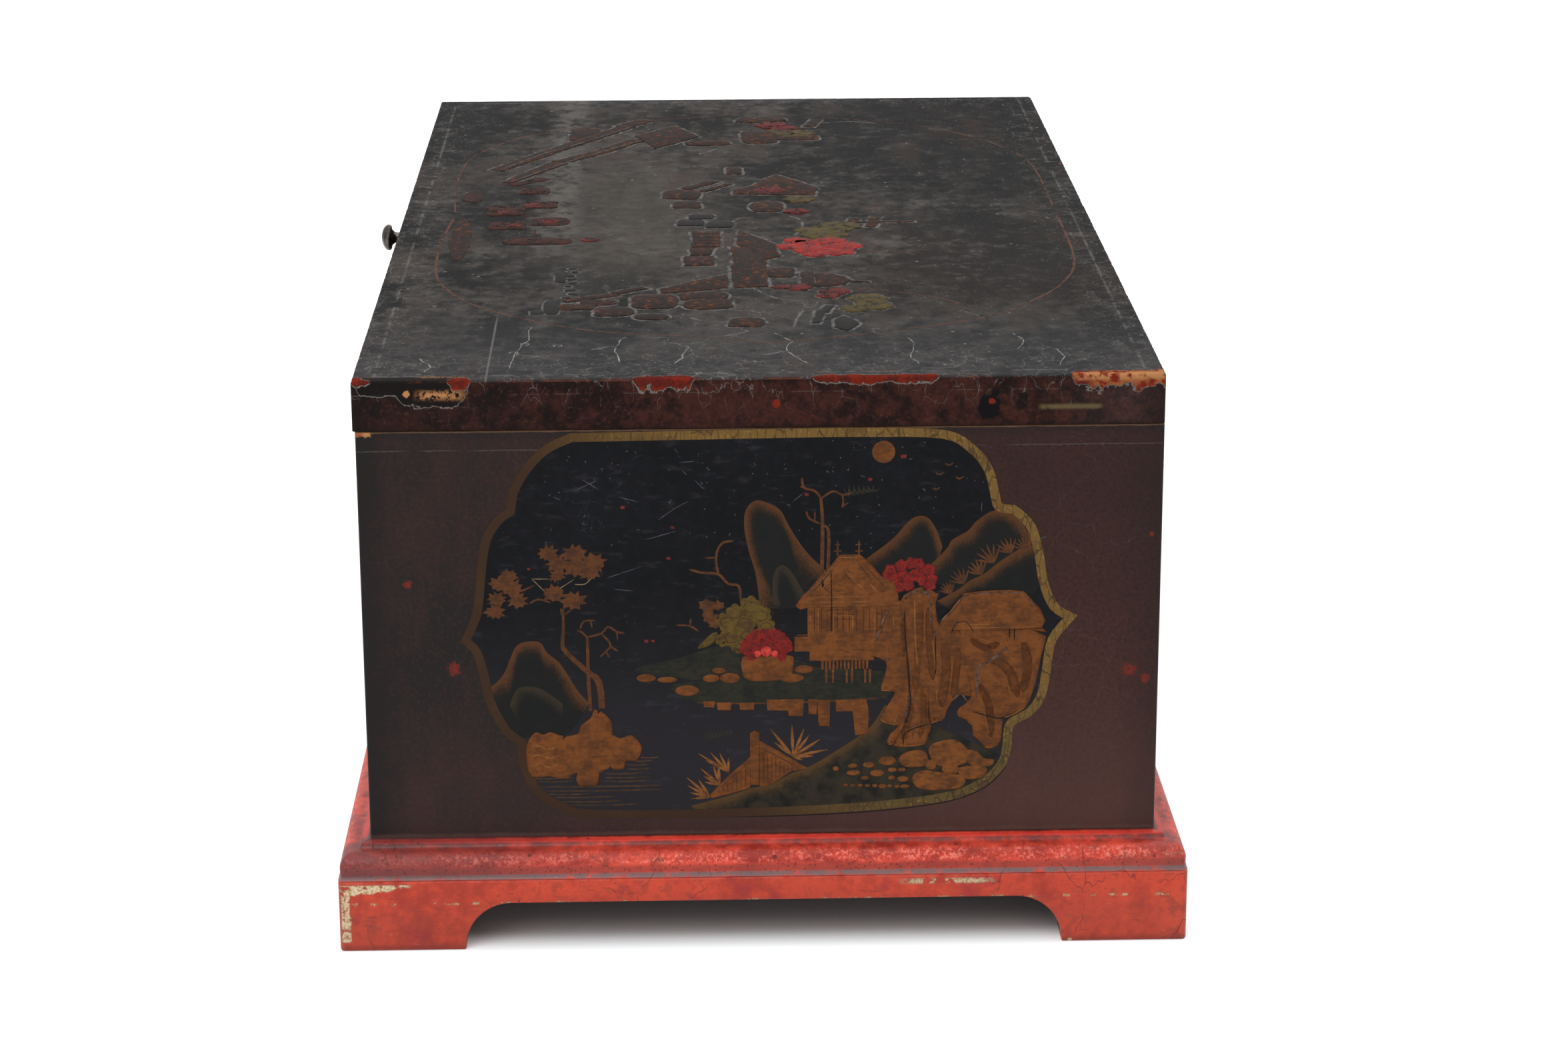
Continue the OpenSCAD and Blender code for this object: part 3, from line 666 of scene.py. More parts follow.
def lid_black():
    """Black lacquer gone grey and crazed on top, red-brown down the rim, chipped on the arris."""
    f = Finish("black_lacquer", "black_lacquer", specular_ior_level=0.045)
    cloud = f.noise(90, 4, 0.55)
    mottle = f.noise(8, 5, 0.65)
    fine = f.noise(1.5, 4, 0.65)
    drift = f.noise(26, 5, 0.7, on=f.stretched(0.35, 1, 1))
    edge = (HALF_L - f.x.size()).least(HALF_D - f.y.size())
    top = f.z.rise(LID_FACE - 1.1 * MM, LID_FACE - 0.35 * MM)
    tone = (cloud * 0.4 + drift * 0.32 + mottle * 0.28).rise(0.42, 0.58)
    face = f.layers(
        f.mix(tone, (12, 12, 13), (64, 60, 57)),
        (f.x.rise_mm(150, 300) * 0.5, (58, 58, 60)),
        (f.x.rise_mm(-270, -303) * 0.4, (52, 50, 54)),
        (f.x.within_mm(-110, 120, 60) * f.y.within_mm(-84, -22, 34) * 0.55, (80, 75, 69)),
        (f.x.rise_mm(40, -200) * f.y.rise_mm(10, 110) * 0.85, (13, 13, 15)),
        (f.x.rise_mm(0, -200) * f.y.rise_mm(-110, -150) * 0.6, (14, 14, 16)),
        (f.x.within_mm(20, 190, 40) * f.y.rise_mm(20, 90) * 0.6, (34, 27, 24)),
        (f.y.rise_mm(60, 150) * f.x.within_mm(-140, 130, 60) * 0.5, (14, 14, 15)),
        (mottle.rise(0.48, 0.34) * 0.24, (9, 9, 10)),
        (mottle.rise(0.52, 0.7) * 0.26, (88, 85, 82)),
        (fine.rise(0.56, 0.68) * 0.3, (92, 88, 84)),
        (drift.rise(0.52, 0.66) * cloud.rise(0.4, 0.55) * 0.35, (52, 35, 27)))
    band = f.y.shaken(mottle, 12).within_mm(-100, -82, 6)
    band = band * f.x.rise_mm(130, -20) * mottle.rise(0.32, 0.6)
    border = edge.within_mm(7, 8.0, 0.6) * mottle.rise(0.4, 0.6) * 0.5
    rule = f.y.shaken(fine, 1).within_mm(-112.0, -111.3, 0.4)
    rule = rule * f.x.rise_mm(190, 215) * 0.6
    crazed = edge.rise_mm(34, 4).most(f.x.rise_mm(238, 285) * 0.9)
    craze = f.cracks(8, 0.16, 0.9) * (crazed * 0.8 + cloud.rise(0.52, 0.66) * 0.25)
    craze = craze * mottle.rise(0.36, 0.5)
    long_cracks = f.cracks(44, 0.28, 1.1) * cloud.rise(0.5, 0.6) * f.x.rise_mm(100, 240) * 0.9
    grit = f.flecks(3, 0.2, 0.2) * mottle.rise(0.38, 0.6)
    grit = grit.most(f.flecks(11, 0.22, 0.1))
    scratch = f.noise(1.1, 3, 0.7, on=f.stretched(0.08, 1, 1)).rise(0.66, 0.74) * cloud.rise(0.44,
        0.6)
    lines = craze.most(long_cracks).most(border).most(rule)
    dusty = f.noise(38, 6, 0.75).rise(0.53, 0.68) * mottle.rise(0.36, 0.6) * f.x.rise_mm(240, 120)
    face = f.layers(face, (dusty * 0.45, (98, 95, 91)), (band * 0.75, (96, 92, 88)),
        (scratch * 0.2, DUST),
        (grit * 0.6, (150, 140, 128)), (lines * 0.75, (140, 138, 134)))

    # The rim below it
    below = (LID_FACE - f.z).most(0) + (edge - 0.4 * MM).most(0)
    rim = f.mix((cloud * 0.4 + mottle * 0.6).rise(0.42, 0.58), (30, 20, 19), (64, 35, 30))
    rim = f.layers(rim, (f.y.rise_mm(-70, -150) * 0.55, (26, 22, 22)),
        (f.y.rise_mm(110, 160) * 0.3, (74, 64, 62)),
        (fine.rise(0.56, 0.68) * 0.35, (98, 62, 50)), (fine.rise(0.46, 0.36) * 0.4, (18, 14, 14)))
    drip = f.spot((HALF_L, 0.0935, LID_FACE - 12.5 * MM), 4.4 * MM, mottle * 2.2 - 0.6)
    corner = (HALF_L - f.x.size()).most(HALF_D - f.y.size())
    rim_hair = f.cracks(9, 0.14, 0.9, on=f.stretched(1, 1, 0.5)) * mottle.rise(0.42, 0.54)
    rim_hair = rim_hair * below.rise_mm(17, 1)
    rim_joint = f.z.within(JOINT_Z - 0.1 * MM, JOINT_Z + 0.1 * MM, 0.16 * MM)
    rim_joint = rim_joint * (mottle.rise(0.5, 0.56) * 0.6 + (f.y + 0.147).rise_mm(2, 0))
    colour = f.layers(rim, (corner.rise_mm(16, 0) * 0.6, SOOT_AND_SHADE), (below.rise_mm(19, 21.5) * 0.6,
        SOOT_AND_SHADE),
        (drip * 0.9, (15, 14, 18)), (rim_hair * 0.65, DUST), (rim_joint * 0.55, DUST),
        (f.spot((HALF_L, 0.0943, LID_FACE - 11 * MM), 1.3 * MM, fine), BOLE))
    colour = f.mix(top, colour, face)

    # Losses along the top arris: how far down they reach at each place
    near_end = f.x.rise_mm(298, 300)
    nibble = f.noise(12, 3, 0.6)
    reach = nibble.rise(0.6, 0.7) * 1.6
    wood = nibble * 0
    for start, end, depth, bare in ((-166, -159, 2.6, 0), (-126, -119, 5.4, 0), (-51, -28, 5.6, 0),
            (22, 72, 3.2, 0), (128, 167, 7.0, 1)):
        window = f.y.within_mm(start, end, 2.2) * near_end
        reach = reach + window * depth
        if bare:
            wood = window
    jagged = (reach * (mottle * 2.4 - 0.4)) * MM
    lost = (jagged - below).rise_mm(0, 0.35) * reach.rise(0.5, 1.0)
    lip = (jagged - below).within_mm(-0.45, -0.05, 0.2) * reach.rise(0.5, 1.0)
    arris_line = below.within_mm(0.4, 0.8, 0.3) * near_end * nibble.rise(0.46, 0.54)

    # A larger patch at the left has lost its top coat only, and the coat's edge stands pale
    shed = f.y.within_mm(-164, -119, 2) * near_end * 6.2 + f.y.within_mm(-147, -121,
        3) * near_end * 4.4
    shed = (shed * (mottle * 0.9 + 0.55)) * MM
    black_coat = (shed - below).rise_mm(0, 0.3) * shed.rise_mm(1, 2)
    lip = lip.most((shed - below).within_mm(-0.4, -0.05, 0.2) * shed.rise_mm(1, 2))
    tan_chip = f.y.within_mm(-139, -121, 3) * near_end * below.within_mm(4.6, 7.6, 1.6)
    tan_chip = tan_chip * fine.rise(0.44, 0.52)
    tan_chip = tan_chip.most(f.spot((HALF_L, -0.144, LID_FACE - 5.3 * MM), 1.5 * MM, fine))
    scuff = f.y.within_mm(114, 139, 1.5) * near_end * below.within_mm(12.6, 14.4, 0.8)
    scuff = scuff * mottle.rise(0.36, 0.46)
    small = f.spot((HALF_L, 0.0064, LID_FACE - 11 * MM), 1.7 * MM, fine)
    patchy = mottle.rise(0.47, 0.53)
    colour = f.layers(
        colour,
        (black_coat * 0.9, (24, 21, 20)), (lip * 0.85, (134, 130, 124)), (arris_line * 0.5,
            (126, 58, 36)),
        (lost, BOLE_DARK), (lost * patchy, BOLE), (lost * fine.rise(0.55, 0.66) * 0.6, SOOT_AND_SHADE),
        (lost * wood * f.y.rise_mm(132, 137) * mottle.rise(0.56, 0.46), (152, 88, 54)),
        (lost * wood * below.rise_mm(3.4, 1.2) * mottle.rise(0.6, 0.5), TAN_WOOD),
        (small, BOLE), (tan_chip, TAN_WOOD), (scuff * 0.7, (112, 98, 68)))
    f.put("Base Color", colour)
    bare = lost.most(tan_chip).most(black_coat * 0.4)
    f.put("Roughness", cloud * 0.2 + mottle * 0.12 + 0.3 + top * 0.2 + lines * 0.1 + bare * 0.3)
    f.bump(drift * 0.6 + fine * 0.3 - craze - long_cracks - rim_hair * (1 - top) - bare * 1.6, 0.4,
        0.3)
    return f


def red_lacquer():
    """The plinth: worn brick-red lacquer over gesso, darker and greyer in its hollows, with painted
    highlights and shade on the moulding and painted shade inside.
    """
    f = Finish("red_lacquer", "red_lacquer", specular_ior_level=0.3)
    cloud = f.noise(34, 4, 0.6)
    mottle = f.noise(6, 5, 0.65)
    fine = f.noise(1.3, 4, 0.7)
    grains = f.noise(1.5, 3, 0.75)
    rubbed = f.noise(5, 5, 0.7, on=f.stretched(0.5, 0.5, 1))
    out = (f.x.size() - HALF_L).most(f.y.size() - HALF_D)
    near = f.x.rise_mm(300, 306)

    def level(start, end, soft=0.5):
        return f.z.shaken(mottle, 0.7).within_mm(start, end, soft)

    board = f.mix((cloud * 0.55 + mottle * 0.45).rise(0.38, 0.62), (172, 54, 38), (222, 78, 50))
    moulding = f.mix((cloud * 0.4 + rubbed * 0.6).rise(0.38, 0.58), (160, 46, 36), (232, 80, 60))
    colour = f.mix(f.z.rise_mm(31.4, 32), board, moulding)
    ends = (f.y.rise_mm(-40, -172) * 0.95).most(f.y.rise_mm(140, 178) * 0.5) * near
    ends = ends * f.z.rise_mm(32, 34)
    # Darker along the foot of the wall, on the ledge.
    wall_foot_dark = out.shaken(mottle, 1.4).rise_mm(2.1, 0.9) * f.z.rise_mm(44.5, 45.3)
    hollow = level(42.9, 44.6, 0.3)
    # Painted highlight: pale specks over the top of the ovolo, with darker red between them.
    ovolo_highlight = level(37.8, 42.0, 1.0) * rubbed.rise(0.36, 0.6)
    # Painted shade: the upright band below the ovolo made darker.
    ovolo_shade = level(33.6, 36.8, 0.8)
    cove = level(31.7, 33.7, 0.35)
    # Painted highlight along the board's top arris.
    board_arris_highlight = level(30.6, 31.4, 0.2)
    # Painted highlight on the top of the ledge, which faces up to the lamps.
    ledge_highlight = out.within_mm(2.4, 5.2, 0.5) * f.z.rise_mm(44.4, 45)
    pits = f.flecks(1.9, 0.35, 0.3) * (level(33.5, 38, 1.5) * 0.6 + 0.16)
    nicks = f.flecks(9, 0.22, 0.13) * fine.rise(0.36, 0.5)
    dark_patch = cloud.rise(0.5, 0.62) * mottle.rise(0.46, 0.6)
    crimson = f.noise(19, 3, 0.6).rise(0.56, 0.64) * f.z.rise_mm(31, 30)
    crack = f.cracks(24, 0.2, 0.7, on=f.stretched(1, 1, 0.5)) * cloud.rise(0.54, 0.62)
    scratch = f.noise(0.9, 3, 0.7, on=f.stretched(0.1, 0.1, 1)).rise(0.67, 0.74)
    dark_scratch = f.noise(1.2, 3, 0.7, on=f.stretched(0.12, 0.12, 1)).rise(0.6, 0.68)
    colour = f.layers(
        colour,
        (crimson * 0.5, (164, 44, 54)),
        (dark_patch * 0.5, (122, 50, 42)),
        (dark_scratch * mottle.rise(0.4, 0.55) * 0.55, (84, 38, 34)),
        # Painted light on the moulding: shade below the ovolo, and a highlight of pale specks on its top.
        (ovolo_shade * 0.7, (160, 60, 48)),
        (ovolo_highlight * grains.rise(0.5, 0.58) * 0.8, (252, 144, 126)),
        (ovolo_highlight * grains.rise(0.46, 0.38) * 0.6, (120, 30, 34)),
        (hollow * mottle.rise(0.3, 0.6) * 0.8, (104, 62, 60)),
        # Painted highlight on the ledge.
        (ledge_highlight * 0.7, (232, 66, 54)),
        (wall_foot_dark * 0.9, (40, 29, 26)),
        (cove * mottle.rise(0.26, 0.5) * 0.9, (122, 104, 104)),
        (ends * 0.76, (88, 52, 54)),
        (f.z.rise_mm(4, 0.5) * 0.5, (106, 42, 36)),
        (f.z.rise_mm(26, 12) * 0.2, (112, 62, 54)),
        # Painted highlight on the board's arris.
        (board_arris_highlight * mottle.rise(0.34, 0.6) * 0.6, (214, 92, 78)),
        (pits * 0.85, (74, 32, 28)),
        (nicks * 0.8, (66, 32, 30)),
        (crack * 0.8, (58, 26, 24)),
        (scratch * mottle.rise(0.45, 0.6) * 0.4, (206, 160, 138)),
        # Painted shade: the boards' inner sides and the inner part of their undersides made dark brown,
        # as they are unlit under the box.
        (out.rise_mm(5, 4) * f.z.rise_mm(31, 30), (50, 40, 34)))

    # Losses down to the gesso, most of them on the left of the near board
    face = f.x.rise_mm(316, 317.5)
    edge = f.flecks(6, 0.5, 0.24) * f.z.rise_mm(4, 1)
    edge = edge.most(f.flecks(5, 0.55, 0.26) * f.z.within_mm(20, 22.2, 0.5))
    edge = edge.most(f.flecks(9, 0.3, 0.13) * f.z.within_mm(29, 31.2, 0.8))
    edge = edge.most(mottle.rise(0.55, 0.61) * f.z.within_mm(20.6, 21.7, 0.3)
        * fine.rise(0.44, 0.52))
    slant = f.z - (f.y + 178 * MM) * 0.12
    top_left = f.y.within_mm(-177.4, -149, 2) * slant.shaken(mottle, 5).rise_mm(24.6, 25.4)
    top_left = top_left * f.z.rise_mm(30.2, 29.4)
    side = f.y.shaken(mottle, 6).rise_mm(-173.4, -174.2)
    side = side * f.z.within_mm(10, 28, 1).most(f.z.within_mm(4.2, 9, 0.6)) * f.y.rise_mm(-178,
        -177)
    gesso = top_left.most(side) * face * mottle.rise(0.38, 0.46)
    rubs = f.y.rise_mm(-154, -160) * f.z.within_mm(4, 16, 2) * scratch
    streak = f.y.within_mm(60, 95, 6) * f.z.within_mm(27.4, 29.6, 0.6) * mottle.rise(0.46, 0.52)
    gesso = edge.most(gesso).most((rubs * 0.8).most(streak * 0.8) * face)
    halo = gesso.rise(0.02, 0.4)
    bare = f.mix(fine.rise(0.46, 0.62), (228, 206, 170), (184, 132, 82))
    colour = f.layers(colour, (halo * 0.8, (116, 46, 34)), (gesso, bare))
    f.put("Base Color", colour)
    f.put("Roughness", mottle * 0.25 + 0.26 + ovolo_highlight * 0.15 + gesso * 0.3)
    f.bump(mottle * 0.6 + fine * 0.5 + grains * ovolo_highlight * 0.6 - pits - nicks - crack * 1.4 - gesso
        * 1.5, 0.5, 0.3)
    return f


def pine(axis):
    """Planed pine with its grain along one axis, a little dusty, and near black below 48 mm as painted
    shade under the box.
    """
    f = Finish("bare_pine_" + axis, "bare_pine", roughness=0.62, specular_ior_level=0.3)
    length = {key: 0.06 if key == axis else 1.0 for key in "xyz"}
    line = f.stretched(**length)
    rings = f.noise(7, 3, 0.5, 0.6, on=line)
    grain = f.noise(0.9, 3, 0.6, on=line)
    stain = f.noise(70, 3)
    ring = (rings * 9).math("FRACT").rise(0.1, 0.9)
    colour = f.layers(f.mix(ring, (148, 108, 66), (186, 148, 102)),
        (grain.rise(0.5, 0.7) * 0.4, (122, 84, 50)),
        (stain.rise(0.45, 0.7) * 0.35, (118, 92, 66)),
        # Painted shade: near black below 48 mm, where the wood is unlit under the box.
        (f.z.rise_mm(48, 46.5) * 0.95, (26, 22, 19)))
    f.put("Base Color", colour)
    f.bump(grain + ring * 0.3, 0.25, 0.15)
    return f


def iron():
    """Forged and filed iron, browned with age."""
    f = Finish("lock_iron", "lock_iron", specular_ior_level=0.5)
    cloud = f.noise(9, 5, 0.65)
    file_marks = f.noise(0.5, 2, on=f.stretched(0.1, 1, 1))
    rust = cloud.rise(0.5, 0.62)
    f.put("Base Color", f.mix(rust, f.mix(file_marks.rise(0.4, 0.6), (96, 93, 90), (128, 124, 120)),
        (86, 54, 38)))
    f.put("Metallic", 1 - rust * 0.85)
    f.put("Roughness", rust * 0.35 + 0.4)
    f.bump(cloud + file_marks * 0.4, 0.3, 0.1)
    return f


def brass(name, bright, dull, roughness):
    """Cast and turned metal, bright and tarnished in patches."""
    f = Finish(name, name, specular_ior_level=0.5)
    cloud = f.noise(6, 5, 0.6)
    fine = f.noise(0.7, 3, 0.6)
    tarnish = (cloud * 0.7 + fine * 0.3).rise(0.42, 0.62)
    f.put("Base Color", f.mix(tarnish, bright, dull))
    f.put("Metallic", 1 - tarnish * 0.35)
    f.put("Roughness", tarnish * 0.25 + roughness)
    f.bump(cloud + fine * 0.5, 0.15, 0.08)
    return f


def pigment(name, slot, light, dark, grain=5.0, roughness=0.45, wear=0.3, shine=0.1, worn=None,
        streaks=None):
    """A paint of the decoration: two tones in brushed clouds, with dark crazing and a little dust.
    One that is worn lets the ground through in patches."""
    f = Finish(name, slot, specular_ior_level=shine)
    cloud = f.noise(grain, 5, 0.65)
    brushed = f.noise(1.4, 4, 0.6, on=f.stretched(0.4, 0.4, 1))
    tone = (cloud * 0.6 + brushed * 0.4).rise(0.38, 0.62)
    craze = f.cracks(6, 0.1, 0.8) * cloud.rise(0.42, 0.56)
    pits = f.flecks(1.5, 0.18, 0.22)
    colour = f.mix(tone, dark, light)
    if streaks:
        colour = f.mix(brushed.rise(0.54, 0.64) * cloud.rise(0.4, 0.55) * 0.7, colour, streaks)
    f.put("Base Color", f.layers(colour, (craze * wear, SOOT_AND_SHADE), (pits * wear * 0.8, SOOT_AND_SHADE),
        (f.flecks(2.6, 0.1, 0.14) * wear, DUST)))
    if worn:
        f.put("Alpha", (cloud * 0.6 + f.noise(1.8, 4, 0.7) * 0.4).rise(*worn))
    f.put("Roughness", cloud * 0.25 + roughness - 0.12)
    f.bump(cloud * 0.6 + brushed * 0.5 - craze - pits * 0.5, 0.4, 0.12)
    return f


def panel_black():
    """The panel's ground: blue-black, browner and dustier low down, with specks and hair cracks."""
    f = Finish("panel_black", "black_lacquer", specular_ior_level=0.1)
    cloud = f.noise(40, 4, 0.6)
    mottle = f.noise(5, 5, 0.65)
    streak = f.noise(3, 4, 0.6, on=f.stretched(0.3, 0.3, 1))
    base = f.layers(f.mix((cloud * 0.5 + mottle * 0.5).rise(0.38, 0.62), (5, 5, 9), (14, 14, 19)),
        (f.z.rise_mm(160, 70) * 0.6, (46, 42, 47)))
    upper = f.z.rise_mm(150, 175)
    hair = f.cracks(7, 0.07, 1.2) * cloud.rise(0.52, 0.64) * (upper * 0.25 + 0.08)
    specks = f.flecks(2.4, 0.18, 0.16) * (upper * 0.45 + 0.2) * mottle.rise(0.4, 0.55)
    flakes = f.flecks(14, 0.1, 0.12) * 0.35
    f.put("Base Color", f.layers(base, (streak.rise(0.56, 0.7) * 0.25, (58, 57, 62)),
        (hair, (110, 112, 120)), (specks * 0.7, (150, 152, 156)),
        (flakes, (98, 98, 106))))
    f.put("Roughness", mottle * 0.2 + 0.3)
    f.bump(mottle * 0.5 + streak * 0.4 - hair, 0.25, 0.15)
    return f


def gold_band():
    """The frame line: bright olive gold at the top and right, browner low on the left, cracked across."""
    f = Finish("gold_band", "old_brass", metallic=0.1, specular_ior_level=0.12)
    cloud = f.noise(16, 4, 0.6)
    fine = f.noise(1.4, 4, 0.65)
    end_wall = f.x.size().rise_mm(303, 305)
    lit = ((f.z - 137 * MM) * 3 + f.y * end_wall * 5 + (1 - end_wall) * 0.1).rise(-0.3, 0.14)
    across = f.cracks(3.6, 0.2, 0.35, on=f.stretched(1, 1, 0.3))
    colour = f.layers(f.mix(lit, (56, 37, 24), (112, 84, 42)),
        (f.z.rise_mm(120, 70) * lit * 0.7, (74, 64, 38)))
    f.put("Base Color", f.layers(colour, (cloud.rise(0.5, 0.66) * 0.5, (66, 46, 30)),
        (fine.rise(0.54, 0.66) * lit * 0.3, (170, 142, 78)),
        (across * lit * 0.7, (42, 32, 26)),
        (f.flecks(1.6, 0.15, 0.2) * 0.5, SOOT_AND_SHADE)))
    f.put("Roughness", fine * 0.2 + 0.35)
    f.bump(fine - across * lit, 0.4, 0.12)
    return f


def gold_dust(name, glow, body):
    """Dusted gold on a hill: bright along its crest, fading down into dark olive."""
    f = Finish(name, "old_brass", specular_ior_level=0.12)
    uv = f.add("UVMap", {})
    depth = f.add("SeparateXYZ", {}, uv, out="Y") * 100
    cloud = f.noise(9, 4, 0.6)
    grains = f.noise(0.7, 3, 0.7)
    fade = (depth + (cloud - 0.5) * 5 + (grains - 0.5) * 6).rise(9.0, 0.2)
    fade = fade * fade * fade
    colour = f.layers(f.mix(cloud.rise(0.4, 0.65), body, (17, 18, 17)), (fade * 0.95, glow),
        (f.flecks(1.8, 0.16, 0.2) * 0.35, (120, 104, 80)))
    f.put("Base Color", colour)
    f.put("Roughness", grains * 0.25 + 0.4)
    f.bump(grains + fade, 0.2, 0.1)
    return f


# The lid and the carcass


def worn_edge(obj, rows, strength, seed):
    """Breaks up a rounded arris: subdivides it along its length and eats into it unevenly."""
    pick(obj, "EDGE", rows)
    bpy.ops.mesh.subdivide(number_cuts=100)
    bpy.ops.mesh.subdivide(number_cuts=2)
    leave()
    offset = Vector((seed, seed, seed))
    centre = (Vector(obj.bound_box[0]) + Vector(obj.bound_box[6])) / 2
    for vert in obj.data.vertices:
        if vert.co.z < LID_FACE - ARRIS_REACH:
            continue
        if abs(vert.co.x) < HALF_L - ARRIS_REACH and abs(vert.co.y) < HALF_D - ARRIS_REACH:
            continue
        eaten = noise.fractal(vert.co * 260 + offset, 0.8, 2.0, 4)
        inward = (centre - vert.co)
        inward.z = 0
        inward.normalize()
        drop = strength * max(0.0, eaten)
        if vert.co.z > LID_FACE - HAIR:
            vert.co += inward * drop
        else:
            vert.co += inward * drop * 0.6 - Vector((0, 0, drop * 0.6))


def lid_lacquer():
    """The lid's top board and the lacquer that runs over it and down the rim, as one skin."""
    reach = Vector((SKIN, SKIN, 0))
    low = Vector((top_low.x, top_low.y, LID_Z)) - reach
    high = Vector((top_high.x, top_high.y, LID_FACE)) + reach
    skin = block("lid_lacquer", low, high)
    bevelled(skin, lambda e: along(e, 2), CORNER_R, 3)
    bevelled(skin, lambda e: min(v.co.z for v in e.verts) > LID_FACE - HAIR, ARRIS_R, 3)
    pick(skin, "FACE", lambda f: f.normal.z > 0.99)
    bpy.ops.mesh.extrude_region_move()
    bpy.ops.transform.resize(value=(0.99, 0.98, 1), center_override=((low.x + high.x) / 2,
        (low.y + high.y) / 2, LID_FACE))
    leave()
    pick(skin, "FACE", lambda f: f.normal.z < -0.9)
    bpy.ops.mesh.inset(thickness=SKIN)
    bpy.ops.mesh.extrude_region_move(TRANSFORM_OT_translate={"value": (0, 0, JOINT_Z - LID_Z)})
    leave()
    worn_edge(skin, lambda e: min(v.co.z for v in e.verts) > LID_FACE - ARRIS_REACH
              and e.calc_length() > 20 * MM, 0.5 * MM, 3)
    cut(skin, *hinge_notches())
    smooth(skin)
    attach(skin, "lid")
    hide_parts("lid_top_board", "lid_nails")
    return skin


def hinge_notches():
    """Cutters that keep the lacquer clear of the hinges' knuckles."""
    notches = []
    for side in ("left", "right"):
        low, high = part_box(side + "_lower_leaf")
        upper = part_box(side + "_upper_leaf")[1]
        room = Vector((0.3, 0, 0.4)) * MM
        start = Vector((low.x, HALF_D - HAIR, low.z)) - room
        end = Vector((high.x, high.y, upper.z)) + room
        notches.append(block("notch", start, end))
    return notches


def keyhole_room():
    """Cutters that open the lacquer behind the escutcheon, a little inside its outline."""
    hidden = 0.5 * MM
    radius = (escutcheon_high.x - escutcheon_low.x) / 2 - hidden
    deep = 2 * (SKIN + MM)
    low, high = escutcheon_low.z + hidden + radius, escutcheon_high.z - hidden - radius
    cutters = [block("keyhole", (-radius, -HALF_D - deep / 2, low),
        (radius, -HALF_D + deep / 2, high))]
    for height in (low, high):
        only()
        bpy.ops.mesh.primitive_cylinder_add(vertices=48, radius=radius, depth=deep,
            location=(0, -HALF_D, height), rotation=(math.pi / 2, 0, 0))
        cutters.append(named("keyhole_round"))
    return cutters


def carcass_lacquer():
    """The lacquer round the four walls."""
    skin = block("carcass_lacquer", (-HALF_L - SKIN, -HALF_D - SKIN, LEDGE_Z - SKIN),
                 (HALF_L + SKIN, HALF_D + SKIN, SEAM_Z))
    bevelled(skin, lambda e: along(e, 2), CORNER_R, 3)
    pick(skin, "FACE", lambda f: abs(f.normal.z) > 0.9)
    bpy.ops.mesh.delete(type="FACE")
    leave()
    finish_with(skin, "SOLIDIFY", thickness=SKIN, offset=-1)
    cut(skin, *hinge_notches(), *keyhole_room())
    smooth(skin)
    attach(skin, "carcass")
    return skin


# The plinth

PLINTH_R = 2.2 * MM
FOOT_R = 1.0 * MM
FOOT_LENGTH = 53 * MM
OPENING_HEIGHT = 20.8 * MM
OPENING_R = 19.5 * MM


def corner_ring(half_x, half_y, radius, height, steps=4):
    """A rectangle with rounded corners at a height."""
    ring = []
    for quarter, (sx, sy) in enumerate(((1, 1), (-1, 1), (-1, -1), (1, -1))):
        for step in range(steps + 1):
            turn = math.radians(90 * quarter + 90 * step / steps)
            ring.append(Vector((sx * (half_x - radius) + radius * math.cos(turn),
                                sy * (half_y - radius) + radius * math.sin(turn), height)))
    return ring


def mitred(ring, part):
    """Splits a ring into its four mitred lengths, and puts each in the place of its node."""
    lengths = []
    for side, turn in (("right", 0), ("back", 90), ("left", 180), ("front", 270)):
        length = ring.copy()
        length.data = ring.data.copy()
        length.name = f"{side}_{part}_lacquered"
        bpy.context.scene.collection.objects.link(length)
        across, back = math.radians(turn), math.radians(turn + 90)
        for way in (1, -1):
            corner = Vector((HALF_L * round(math.cos(across) + way * math.cos(back)),
                             HALF_D * round(math.sin(across) + way * math.sin(back)), 0))
            along_wall = Vector((math.cos(back), math.sin(back), 0)) * way
            out = Vector((math.cos(across), math.sin(across), 0))
            pick(length, "FACE", lambda f: True)
            bpy.ops.mesh.bisect(plane_co=corner, plane_no=along_wall - out,
                                use_fill=True, clear_outer=True)
            leave()
        smooth(length)
        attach(length, "carcass")
        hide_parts(f"{side}_{part}")
        lengths.append(length)
    bpy.data.objects.remove(ring)
    return lengths


def aprons():
    """The plinth boards, with the openings between their feet."""
    outer = Vector((apron_high.x, apron_high.x - HALF_L + HALF_D, apron_high.z))
    ring = block("plinth", (-outer.x, -outer.y, 0), outer)
    bevelled(ring, lambda e: along(e, 2), PLINTH_R, 5)
    thick = apron_high.x - apron_low.x
    inner = outer - Vector((thick, thick, -thick))
    cut(ring, block("hollow", (-inner.x, -inner.y, -thick), inner))
    for axis in (0, 1):
        low = Vector((-2 * outer.x, -2 * outer.x, -OPENING_HEIGHT))
        low[1 - axis] = FOOT_LENGTH - outer[1 - axis]
        high = -low
        opening = block("opening", low, high)
        bevelled(opening, lambda e: along(e, axis) and e.verts[0].co.z > 0, OPENING_R, 16)
        cut(ring, opening)
    finish_with(ring, "BEVEL", width=FOOT_R, segments=2, limit_method="ANGLE",
                angle_limit=math.radians(40), use_clamp_overlap=True)
    return mitred(ring, "apron")


def mouldings():
    """The moulding: ledge, hollow, ovolo and cove, swept round the carcass."""
    section = [(0, 0), (0, 14.4)]
    section += arc((5.5, 13.5), (1.5, 2.3), 180, 270, 5)
    section += arc((7.0, 5.2), (5.7, 6.0), 90, 0, 10)
    section += arc((13.5, 2.0), (0.9, 2.0), 180, 270, 4)
    rings = []
    for across, up in section + section[:1]:
        rings.append(corner_ring(HALF_L + across * MM, HALF_D + across * MM,
                                 (0.4 + across * 0.12) * MM, mould_low.z + up * MM))
    return mitred(loft("moulding", rings), "moulding")


# The shaped panel and its frame line


